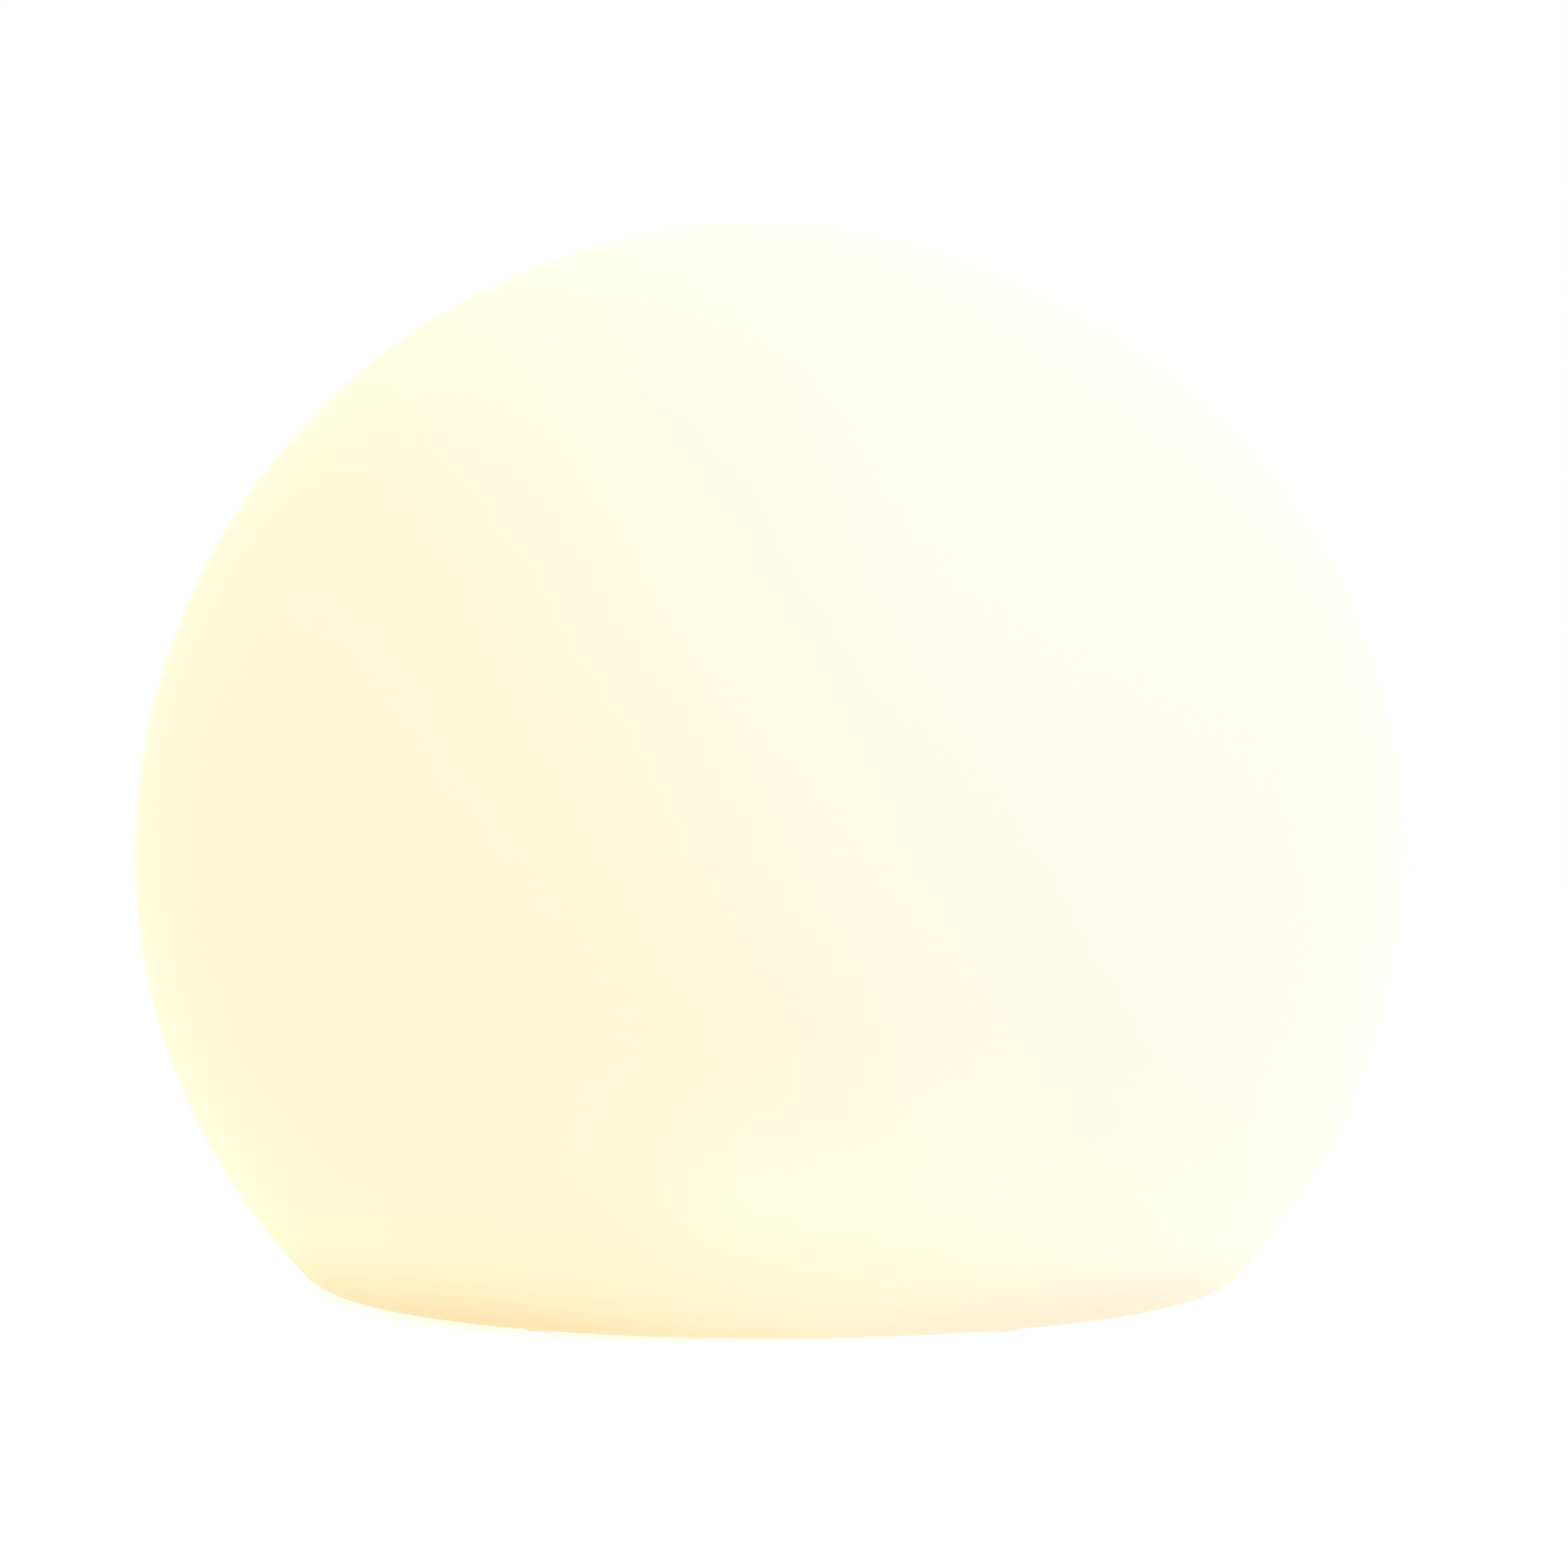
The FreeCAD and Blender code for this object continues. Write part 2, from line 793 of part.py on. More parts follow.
def portCuts():
    farEnd = portY - pocketFar
    nearEnd = hingeY + hingeRoom
    coverTop = plateBottom + coverProud + coverThickness
    ceiling = coverTop + coverCeilingGap
    hingeCeiling = hingeHeight + knuckleRadius + coverGap
    sealCeiling = coverTop + sealThickness + sealCeilingGap
    sealX = sealHalfWidth + sealGap
    sealY = sealHalfLength + sealGap
    holeX = socketHalfWidth + socketHoleGap
    holeY = socketHalfLength + socketHoleGap
    scoop = Part.makeSphere(scoopRadius, point(0, farEnd, plateBottom + scoopDepth - scoopRadius))
    return [
        block(-pocketHalfWidth, pocketHalfWidth, farEnd, nearEnd, plateBottom - 1, ceiling),
        block(-pocketHalfWidth, pocketHalfWidth, hingeY - hingeRoom, nearEnd,
              plateBottom - 1, hingeCeiling),
        block(-sealX, sealX, portY - sealY, portY + sealY, plateBottom, sealCeiling),
        block(-holeX, holeX, portY - holeY, portY + holeY, plateBottom, padTop + 1),
        scoop,
    ]


def baseHousing():
    pad = block(-padHalfWidth, padHalfWidth, portY - padHalfLength, portY + padHalfLength,
                plateTop, padTop)
    tube = drum(flangeBoreRadius() + buttonTubeWall, plateTop, buttonTubeTop, 0, buttonY)
    body = joined([housingBody(), pad, tube] + lugs() + columns())
    cuts = portCuts() + gripBars()
    cuts.append(drum(buttonBoreRadius(), plateBottom - 1, buttonSeat + 1, 0, buttonY))
    cuts.append(drum(flangeBoreRadius(), buttonSeat, buttonTubeTop + 1, 0, buttonY))
    cuts.append(drum(pipeRadius, plateBottom - 1, plateTop + 1, pipeX, pipeY))
    cuts.append(drum(ventStemRadius, plateBottom - 1, plateTop + 1, ventX, ventY))
    cuts += [drum(trayScrewRadius, trayTop - trayScrewLength, rimTop + 1, x, y)
             for x, y in trayScrewPlaces()]
    cuts += [drum(cradleScrewRadius, cradleTop - cradleScrewLength, cradleBottom + 1, x, y)
             for x, y in cradleScrewPlaces()]
    cuts += [drum(controlScrewRadius, controlTop - controlScrewLength, controlBottom + 1, x, y)
             for x, y in controlScrewPlaces()]
    cuts += [drum(chargeScrewRadius, chargeTop - chargeScrewLength, chargeBottom + 1, x, y)
             for x, y in chargeScrewPlaces()]
    bailScrewTop = plateBottom - clipThickness + bailScrewLength
    cuts += [drum(bailScrewRadius, plateBottom - 1, bailScrewTop, x, y)
             for x, y in bailScrewPlaces()]
    body = joined([without(body, cuts)] + portEars())
    pinHole = barX(pinRadius, -pocketHalfWidth, pocketHalfWidth, hingeY, hingeHeight)
    return body.cut(pinHole)


def baseOring():
    middle = plateTop + oringHeight
    low = middle - oringWidth / 2
    high = middle + oringWidth / 2
    outer = neckBore - oringClearance
    ring = tubeRing(grooveFloor(), outer, low, high)
    edges = circleEdges(ring, outer, low) + circleEdges(ring, outer, high)
    return ring.makeFillet(oringRounding, edges)


# Lid and lights

def ledLeadHole(low, high, radius):
    return drum(radius, low, high, ledLeadX, ledLeadY)


def boardScrewPlaces():
    return circlePlaces(boardScrewCircle, boardScrewCount, boardScrewStart)


def lightTray():
    parts = [drum(housingRadius, trayBottom, trayTop)]
    parts += [drum(boardBossRadius, trayBottom - boardBossHeight, trayBottom, x, y)
              for x, y in boardScrewPlaces()]
    tray = joined(parts)
    cuts = [Part.makeCone(trayScrewRadius, trayScrewHeadRadius, trayScrewHeadHeight,
                          point(x, y, trayTop - trayScrewHeadHeight))
            for x, y in trayScrewPlaces()]
    cuts += [drum(trayScrewRadius, trayBottom - 1, trayTop, x, y) for x, y in trayScrewPlaces()]
    cuts += [drum(boardScrewRadius, trayTop - boardScrewReach, trayTop + 1, x, y)
             for x, y in boardScrewPlaces()]
    cuts.append(ledLeadHole(trayBottom - 1, trayTop + 1, grommetRadius))
    return without(tray, cuts)


def trayGasket():
    ring = tubeRing(cavityRadius + trayGasketInset, housingRadius - trayGasketInset,
                    rimTop, trayBottom)
    return ring.cut(Part.makeCompound([drum(trayBossRadius, rimTop - 1, trayBottom + 1, x, y)
                                       for x, y in trayScrewPlaces()]))


def trayScrews():
    screw = countersunkScrew(trayScrewHeadRadius, trayScrewHeadHeight, trayScrewRadius,
                             trayScrewLength)
    return Part.makeCompound(placedDown(screw, trayScrewPlaces(), trayTop))


def heatSpreader():
    disc = drum(spreaderRadius, trayTop, spreaderTop)
    cuts = [drum(boardScrewRadius + screwHoleGap, trayTop - 1, spreaderTop + 1, x, y)
            for x, y in boardScrewPlaces()]
    cuts.append(ledLeadHole(trayTop - 1, spreaderTop + 1, leadRadius + leadHoleGap))
    return without(disc, cuts)


def ledBoard():
    disc = drum(ledBoardRadius, spreaderTop, ledBoardTop)
    return without(disc, [drum(boardScrewRadius + screwHoleGap, spreaderTop - 1,
                               ledBoardTop + 1, x, y) for x, y in boardScrewPlaces()])


def ledChips():
    half = ledSide / 2
    top = ledBoardTop + ledHeight
    chip = block(-half, half, -half, half, ledBoardTop, top)
    chip = chip.cut(drum(half - ledWellMargin, top - ledWellDepth, top + 1))
    chips = []
    for count, circle in zip(ledCounts, ledCircles):
        placed = chip.copy()
        placed.translate(point(circle, 0, 0))
        chips += around(placed, count)
    return Part.makeCompound(chips)


def boardScrews():
    length = ledBoardTop - trayTop + boardScrewReach
    screw = panScrew(boardScrewHeadRadius, boardScrewHeadHeight, boardScrewRadius, length)
    return Part.makeCompound(placedDown(screw, boardScrewPlaces(), ledBoardTop))


def reflectorRing():
    inner = spreaderRadius + reflectorFit
    outer = housingRadius
    top = trayTop + reflectorHeight
    outline = [
        (inner, trayTop), (outer, trayTop), (outer, top), (outer - 3 * reflectorWall, top),
        (inner + reflectorWall, trayTop + 2 * reflectorWall), (inner, trayTop + 2 * reflectorWall),
    ]
    return turned(outline)


def ledDome():
    """Opal cap with a flat rim that sits on the reflector."""
    rimBase = trayTop + reflectorHeight
    rim = rimBase + domeRimHeight
    outerRim = housingRadius
    wallRim = outerRim - domeRimInset
    capRadius = (wallRim ** 2 + domeRise ** 2) / (2 * domeRise)
    ball = Part.makeSphere(capRadius, point(0, 0, rim + domeRise - capRadius))
    hollow = Part.makeSphere(capRadius - domeWall, point(0, 0, rim + domeRise - capRadius))
    cap = ball.common(drum(outerRim, rim, rim + domeRise + 1))
    ring = drum(outerRim, rimBase, rim)
    solid = joined([cap, ring])
    solid = solid.cut(hollow)
    return solid.cut(drum(wallRim - 2 * domeWall, rimBase - 1, rim + domeStep))


def leadGrommet():
    ring = tubeRing(leadRadius, grommetRadius, trayBottom, trayTop, ledLeadX, ledLeadY)
    low = trayBottom - grommetFlangeThickness
    flange = tubeRing(leadRadius, grommetFlange, low, trayBottom, ledLeadX, ledLeadY)
    return joined([ring, flange])


# Battery

def cellRows():
    return (-cellSpacing / 2, cellSpacing / 2)


def batteryCells():
    cells = []
    half = cellLength / 2
    body = cellLength - cellCapHeight
    for row, y in zip((1, -1), cellRows()):
        start = -half if row > 0 else -half + cellCapHeight
        can = barX(cellRadius, start, start + body, y, cellAxis)
        capStart = half - cellCapHeight if row > 0 else -half
        cap = barX(cellCapRadius, capStart, capStart + cellCapHeight, y, cellAxis)
        cells.append(joined([can, cap]))
    return Part.makeCompound(cells)


def batteryCradle():
    inner = cradleEnd
    outer = inner + cradleWall
    width = cradleHalfWidth
    parts = [block(-outer, outer, -width, width, cradleBottom, cradleTop)]
    for side in (-1, 1):
        low = min(side * inner, side * outer)
        parts.append(block(low, low + cradleWall, -width, width, cradleTop,
                           cradleTop + cradleEndRise))
        ribMiddle = side * cradleRibOffset
        parts.append(block(ribMiddle - cradleRibThickness / 2, ribMiddle + cradleRibThickness / 2,
                           -width, width, cradleTop, cradleTop + cradleRibRise))
    for x, y in cradleScrewPlaces():
        parts.append(drum(cradlePostRadius, cradleBottom, cradleTop, x, y))
        low = min(x, math.copysign(inner, x))
        parts.append(block(low, low + abs(x) - inner, y - cradlePostRadius, y + cradlePostRadius,
                           cradleBottom, cradleTop))
    cradle = joined(parts)
    cuts = [barX(cellRadius + cellFit, -inner, inner, y, cellAxis) for y in cellRows()]
    cuts += [drum(cradleScrewRadius, cradleBottom - 1, cradleTop + 1, x, y)
             for x, y in cradleScrewPlaces()]
    return without(cradle, cuts)


def cradleScrews():
    screw = panScrew(cradleScrewHeadRadius, cradleScrewHeadHeight, cradleScrewRadius,
                     cradleScrewLength)
    return Part.makeCompound(placedDown(screw, cradleScrewPlaces(), cradleTop))


def cellTabs():
    inner = cellLength / 2
    outer = inner + tabThickness
    reach = cellSpacing / 2 + cellCapRadius
    low = cellAxis - tabHalfHeight
    high = cellAxis + tabHalfHeight
    leadTab = joined([
        block(inner, outer, -reach, reach, low, high),
        block(inner, outer, -tabNeckHalfWidth, tabNeckHalfWidth, high, tabTop),
    ])
    return Part.makeCompound([leadTab, block(-outer, -inner, -reach, reach, low, high)])


def strapOutline(radius):
    low, high = cellRows()
    circles = [barX(radius, -strapHalfWidth, strapHalfWidth, y, cellAxis) for y in (low, high)]
    middle = block(-strapHalfWidth, strapHalfWidth, low, high, cellAxis, cellAxis + radius)
    legs = block(-strapHalfWidth, strapHalfWidth, low - radius, high + radius, cradleTop, cellAxis)
    above = block(-strapHalfWidth, strapHalfWidth, low - radius, high + radius,
                  cellAxis, cellAxis + radius)
    return joined([joined(circles + [middle]).common(above), legs])


def batteryStrap():
    inner = cellRadius + strapGap
    strap = strapOutline(inner + strapThickness).cut(strapOutline(inner))
    return strap


# Boards

def plate(x0, x1, y0, y1, low, screwRadius, places):
    board = block(x0, x1, y0, y1, low, low + boardThickness)
    holes = [drum(screwRadius, low - 1, low + boardThickness + 1, x, y) for x, y in places]
    return without(board, holes)


def controlBoard():
    return plate(-controlHalfWidth, controlHalfWidth, controlNear, controlFar, controlBottom,
                 controlScrewRadius, controlScrewPlaces())


def controlScrews():
    screw = panScrew(controlScrewHeadRadius, controlScrewHeadHeight, controlScrewRadius,
                     controlScrewLength)
    return Part.makeCompound(placedDown(screw, controlScrewPlaces(), controlTop))


def partOnBoard(x, y, halfX, halfY, height, base):
    return block(x - halfX, x + halfX, y - halfY, y + halfY, base, base + height)


def controlChips():
    chips = [partOnBoard(*sizes, controlTop) for sizes in chipSizes]
    chips.append(drum(capacitorRadius, controlTop, controlTop + capacitorHeight,
                      capacitorX, capacitorY))
    chips.append(partOnBoard(pipeX, pipeY, indicatorHalfLength, indicatorHalfWidth,
                             indicatorHeight, controlBottom - indicatorHeight))
    return Part.makeCompound(chips)


def chargeBoard():
    x = chargeBoardHalfWidth
    y = chargeBoardHalfLength
    return plate(-x, x, portY - y, portY + y, chargeBottom, chargeScrewRadius,
                 chargeScrewPlaces())


def chargeScrews():
    screw = panScrew(chargeScrewHeadRadius, chargeScrewHeadHeight, chargeScrewRadius,
                     chargeScrewLength)
    return Part.makeCompound(placedDown(screw, chargeScrewPlaces(), chargeTop))


def chargeSocket():
    low = chargeBottom - socketHeight
    x = socketHalfWidth
    y = socketHalfLength
    body = block(-x, x, portY - y, portY + y, low, chargeBottom)
    upright = [edge for edge in body.Edges if edge.BoundBox.ZLength > 1]
    body = body.makeFillet(y - socketEndFlat, upright)
    innerX = x - socketWall
    innerY = y - socketWall
    back = chargeBottom - socketBackWall
    mouth = block(-innerX, innerX, portY - innerY, portY + innerY, low, back)
    mouthUpright = [edge for edge in mouth.Edges if edge.BoundBox.ZLength > 1]
    mouth = mouth.makeFillet(innerY - socketEndFlat, mouthUpright)
    tongue = block(-socketTongueHalfWidth, socketTongueHalfWidth, portY - socketTongueHalf,
                   portY + socketTongueHalf, low + socketTongueInset, back)
    return joined([body.cut(mouth), tongue])


def socketGasket():
    x = socketGasketHalfWidth
    y = socketGasketHalfLength
    ring = block(-x, x, portY - y, portY + y, padTop, chargeBottom)
    holeX = socketHalfWidth + socketHoleGap
    holeY = socketHalfLength + socketHoleGap
    return ring.cut(block(-holeX, holeX, portY - holeY, portY + holeY, padTop - 1,
                          chargeBottom + 1))


# Push button

def powerButton():
    face = plateBottom - buttonProtrusion
    flangeLow = buttonFlangeTop - buttonFlangeThickness
    skin = drum(buttonRadius, face, buttonFlangeTop, 0, buttonY)
    skin = skin.makeFillet(buttonRounding, circleEdges(skin, buttonRadius, face))
    flange = drum(buttonRadius + buttonFlangeReach, flangeLow, buttonFlangeTop, 0, buttonY)
    cap = joined([skin, flange])
    inside = drum(buttonRadius - buttonWall - buttonSealDepth, face + buttonCrown,
                  buttonFlangeTop + 1, 0, buttonY)
    stem = drum(buttonStemRadius, face + buttonCrown, stemTop, 0, buttonY)
    grooveMiddle = plateBottom + buttonGrooveHeight
    grooveInner = buttonRadius + buttonSealClearance - buttonSealDepth
    groove = tubeRing(grooveInner, buttonRadius + 1, grooveMiddle - buttonGrooveWidth / 2,
                      grooveMiddle + buttonGrooveWidth / 2, 0, buttonY)
    dish = Part.makeSphere(buttonDishRadius,
                           point(0, buttonY, face + buttonDishDepth - buttonDishRadius))
    return joined([cap.cut(inside), stem]).cut(groove).cut(dish)


def buttonSeal():
    middle = plateBottom + buttonGrooveHeight
    half = buttonGrooveWidth / 2 - buttonSealSideGap
    outer = buttonBoreRadius() - buttonSealBoreGap
    inner = buttonRadius + buttonSealClearance - buttonSealDepth
    return tubeRing(inner, outer, middle - half, middle + half, 0, buttonY)


def buttonSpring():
    low = plateBottom - buttonProtrusion + buttonCrown + springWire / 2 + springSeatGap
    high = retainerBottom - springWire / 2 - springSeatGap
    height = high - low
    helix = Part.makeHelix(height / springTurns, height, springCoilRadius)
    path = Part.Wire(helix.Edges)
    start = point(springCoilRadius, 0, 0)
    profile = Part.Wire([Part.Circle(start, point(0, 1, 0), springWire / 2).toShape()])
    coil = path.makePipeShell([profile], True, True)
    coil.translate(point(0, buttonY, low))
    return coil


def buttonRetainer():
    top = buttonTubeTop + retainerFlangeThickness
    hole = buttonStemRadius + buttonStemClearance
    plug = tubeRing(hole, flangeBoreRadius() - retainerFit, retainerBottom, buttonTubeTop,
                    0, buttonY)
    flange = tubeRing(hole, flangeBoreRadius() + buttonTubeWall, buttonTubeTop, top, 0, buttonY)
    return joined([plug, flange])


def switchPlunger():
    top = controlBottom - switchRoof - buttonTravel - plungerRoom
    return drum(plungerRadius, stemTop, top, 0, buttonY)


def switchBody():
    half = switchHalfWidth
    body = block(-half, half, buttonY - half, buttonY + half, switchBottom, controlBottom)
    bore = drum(plungerRadius + plungerClearance, switchBottom - 1, controlBottom - switchRoof,
                0, buttonY)
    return body.cut(bore)


# Port cover

def coverBottom():
    return plateBottom + coverProud


def portCover():
    low = coverBottom()
    high = low + coverThickness
    far = portY - pocketFar + coverGap
    near = hingeY - knuckleRadius - 2 * coverGap
    x = pocketHalfWidth - coverGap
    leaf = block(-x, x, far, near, low, high)
    farUpright = [edge for edge in leaf.Edges
                  if edge.BoundBox.ZLength > 1 and edge.BoundBox.YMax < portY]
    leaf = leaf.makeFillet(coverCorner, farUpright)
    knuckle = barX(knuckleRadius, -knuckleHalfLength, knuckleHalfLength, hingeY, hingeHeight)
    bridge = block(-knuckleHalfLength, knuckleHalfLength, near - bridgeBite, hingeY,
                   low + bridgeStep, high)
    bore = barX(pinRadius + pinClearance, -knuckleHalfLength - 1, knuckleHalfLength + 1, hingeY,
                hingeHeight)
    return joined([leaf, knuckle, bridge]).cut(bore)


def portSeal():
    low = coverBottom() + coverThickness
    x = sealHalfWidth
    y = sealHalfLength
    pad = block(-x, x, portY - y, portY + y, low, low + sealThickness)
    upright = [edge for edge in pad.Edges if edge.BoundBox.ZLength > 1]
    return pad.makeFillet(sealCorner, upright)


def portPin():
    reach = knuckleHalfLength + knuckleSideGap + earLength
    return barX(pinRadius, -reach, reach, hingeY, hingeHeight)


# Indicator and vent

def lightPipe():
    top = controlBottom - indicatorHeight - pipeGap
    rod = drum(pipeRadius, plateBottom, top, pipeX, pipeY)
    flange = drum(pipeFlangeRadius, plateTop, plateTop + pipeFlangeThickness, pipeX, pipeY)
    return joined([rod, flange])


def ventPlug():
    head = drum(ventHeadRadius, plateBottom - ventHeadHeight, plateBottom, ventX, ventY)
    head = head.makeFillet(ventHeadHeight / 2,
                           circleEdges(head, ventHeadRadius, plateBottom - ventHeadHeight))
    stem = drum(ventStemRadius, plateBottom, plateTop, ventX, ventY)
    barb = drum(ventBarbRadius, plateTop, plateTop + ventBarbHeight, ventX, ventY)
    bore = drum(ventBore, plateBottom - 2, plateTop + ventBarbHeight + 1, ventX, ventY)
    return joined([head, stem, barb]).cut(bore)


# Hanging loop

def hangBail():
    z = bailAxis
    side = bailLoopRadius
    turn = bailCorner
    end = side - turn
    inner = end - bailEndLength
    diagonal = turn * (1 - math.sqrt(0.5))
    edges = [
        Part.LineSegment(point(-inner, 0, z), point(-end, 0, z)).toShape(),
        Part.Arc(point(-end, 0, z), point(-side + diagonal, diagonal, z),
                 point(-side, turn, z)).toShape(),
        Part.Arc(point(-side, turn, z), point(0, turn + side, z), point(side, turn, z)).toShape(),
        Part.Arc(point(side, turn, z), point(side - diagonal, diagonal, z),
                 point(end, 0, z)).toShape(),
        Part.LineSegment(point(end, 0, z), point(inner, 0, z)).toShape(),
    ]
    return tubeAlong(Part.Wire(edges), bailWire / 2)


def saddle(radius, x0, x1):
    """Rod round the loop's axis, widened straight up to the plate."""
    rod = barX(radius, x0, x1, 0, bailAxis)
    below = block(x0, x1, -radius, radius, bailAxis - radius, bailAxis)
    legs = block(x0, x1, -radius, radius, bailAxis, plateBottom)
    return joined([rod.common(below), legs])


def bailClips():
    inner = bailWire / 2 + clipBore
    clips = []
    for side in (-1, 1):
        middle = side * clipMiddle()
        x0 = middle - clipLength / 2
        x1 = middle + clipLength / 2
        wings = block(x0, x1, -clipHalfSpan, clipHalfSpan, plateBottom - clipThickness,
                      plateBottom)
        clip = joined([wings, saddle(inner + clipThickness, x0, x1)])
        clip = clip.cut(saddle(inner, x0, x1))
        clips.append(without(clip, [drum(bailScrewRadius, bailAxis, plateBottom + 1, middle, y)
                                    for y in (-bailScrewY, bailScrewY)]))
    return Part.makeCompound(clips)


def bailScrews():
    screw = panScrew(bailScrewHeadRadius, bailScrewHeadHeight, bailScrewRadius, bailScrewLength)
    return Part.makeCompound(placedUp(screw, bailScrewPlaces(), plateBottom - clipThickness))


# Internal leads and their plugs

def leadPlugs():
    half = plugWidth / 2
    tall = plugLength / 2
    plugs = [
        partOnBoard(batteryPlugX, plugRowY, half, half, plugHeight, controlTop),
        partOnBoard(ledPlugX, plugRowY, half, half, plugHeight, controlTop),
        partOnBoard(chargePlugX, controlNear + tall + 0.5, half, tall, plugHeight, controlTop),
        partOnBoard(chargePlugX, chargePlugY, half, half, plugHeight, chargeTop),
    ]
    return Part.makeCompound(plugs)


def batteryLead():
    x = cellLength / 2 + tabThickness / 2
    base = controlTop + plugHeight
    arch = tabTop + leadArch
    route = [
        point(x, 0, tabTop),
        point(x, 0, arch - 1.0),
        point(x - 3.0, 7.0, arch),
        point(x - 8.0, 17.0, arch - 2.5),
        point(x - 13.0, 24.5, arch - 10.5),
        point(batteryPlugX + 3.0, 28.0, base + 11.0),
        point(batteryPlugX, plugRowY, base + 5.0),
        point(batteryPlugX, plugRowY, base),
    ]
    return lead("battery_lead", route)


def ledLead():
    base = controlTop + plugHeight
    route = [
        point(ledPlugX, plugRowY, base),
        point(ledPlugX, plugRowY, base + 6.0),
        point(ledPlugX - 1.5, plugRowY + 4.0, base + 13.0),
        point(ledLeadX + 1.0, ledLeadY + 1.5, base + 20.0),
        point(ledLeadX, ledLeadY, trayBottom - 5.0),
        point(ledLeadX, ledLeadY, spreaderTop),
    ]
    return lead("led_lead", route)


def chargeLead():
    start = chargeTop + plugHeight
    end = controlTop + plugHeight / 2
    y = chargePlugY
    route = [
        point(chargePlugX, y, start),
        point(chargePlugX, y, start + 3.0),
        point(chargePlugX + 0.6, y + 7.0, end + 0.8),
        point(chargePlugX, y + 14.0, end),
        point(chargePlugX, controlNear + 0.5, end),
    ]
    return lead("charge_lead", route)


pieces = {
    "globe_shell": globeShell,
    "feet": feet,
    "neck_ring": neckRing,
    "neck_gasket": neckGasket,
    "clamp_ring": clampRing,
    "neck_screws": neckScrews,
    "base_housing": baseHousing,
    "twist_grips": twistGrips,
    "base_oring": baseOring,
    "light_tray": lightTray,
    "tray_gasket": trayGasket,
    "tray_screws": trayScrews,
    "heat_spreader": heatSpreader,
    "led_board": ledBoard,
    "led_chips": ledChips,
    "board_screws": boardScrews,
    "reflector_ring": reflectorRing,
    "led_dome": ledDome,
    "lead_grommet": leadGrommet,
    "battery_cells": batteryCells,
    "battery_cradle": batteryCradle,
    "cradle_screws": cradleScrews,
    "cell_tabs": cellTabs,
    "battery_strap": batteryStrap,
    "control_board": controlBoard,
    "control_screws": controlScrews,
    "control_chips": controlChips,
    "charge_board": chargeBoard,
    "charge_screws": chargeScrews,
    "charge_socket": chargeSocket,
    "socket_gasket": socketGasket,
    "power_button": powerButton,
    "button_seal": buttonSeal,
    "button_spring": buttonSpring,
    "button_retainer": buttonRetainer,
    "switch_plunger": switchPlunger,
    "switch_body": switchBody,
    "port_cover": portCover,
    "port_seal": portSeal,
    "port_pin": portPin,
    "light_pipe": lightPipe,
    "vent_plug": ventPlug,
    "hang_bail": hangBail,
    "bail_clips": bailClips,
    "bail_screws": bailScrews,
    "lead_plugs": leadPlugs,
    "battery_lead": batteryLead,
    "led_lead": ledLead,
    "charge_lead": chargeLead,
}

os.makedirs("parts", exist_ok=True)
for name, make in pieces.items():
    shape = make()
    print(name, "solids", len(shape.Solids), "valid", shape.isValid(), "volume", round(shape.Volume))
    shape.exportStep("parts/" + name + ".step")
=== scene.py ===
import json
import math

import bmesh
import bpy
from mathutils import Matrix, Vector


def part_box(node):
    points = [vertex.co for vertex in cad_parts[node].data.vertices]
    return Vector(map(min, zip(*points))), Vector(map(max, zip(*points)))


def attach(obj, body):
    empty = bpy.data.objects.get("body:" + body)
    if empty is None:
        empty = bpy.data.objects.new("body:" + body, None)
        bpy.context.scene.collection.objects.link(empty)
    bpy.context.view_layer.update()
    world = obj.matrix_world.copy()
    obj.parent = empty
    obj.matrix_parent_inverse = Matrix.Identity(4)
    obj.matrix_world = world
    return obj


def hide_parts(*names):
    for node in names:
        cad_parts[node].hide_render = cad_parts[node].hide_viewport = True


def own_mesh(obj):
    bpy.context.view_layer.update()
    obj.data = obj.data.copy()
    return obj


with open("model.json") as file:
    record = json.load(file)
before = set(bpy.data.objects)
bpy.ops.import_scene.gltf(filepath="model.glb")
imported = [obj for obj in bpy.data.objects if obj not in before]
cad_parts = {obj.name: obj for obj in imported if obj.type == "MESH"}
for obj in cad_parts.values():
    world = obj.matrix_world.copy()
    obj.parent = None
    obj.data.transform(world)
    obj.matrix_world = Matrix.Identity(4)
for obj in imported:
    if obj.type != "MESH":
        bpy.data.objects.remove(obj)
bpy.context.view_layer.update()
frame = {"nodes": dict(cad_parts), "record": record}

# the sizes that everything is placed by, read from the frame
shellLow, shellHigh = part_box("globe_shell")
globeRadius = (shellHigh.x - shellLow.x) / 2
globeCentre = Vector((0.0, 0.0, shellHigh.z - globeRadius))
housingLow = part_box("base_housing")[0]
print("globe radius", round(globeRadius, 4), "centre height", round(globeCentre.z, 4))


# the camera stands where the photograph was taken from
cameraSettings = {
    "distance": 5.277,       # from the globe's centre, in globe radii
    "rise": 0.1,             # degrees above the globe's centre
    "photoWidth": 1932,      # pixels
    "focalPixels": 4063.0,
    "centrePixel": (950.4, 1056.6),   # where the globe's centre falls
    "sensor": 36.0,
}


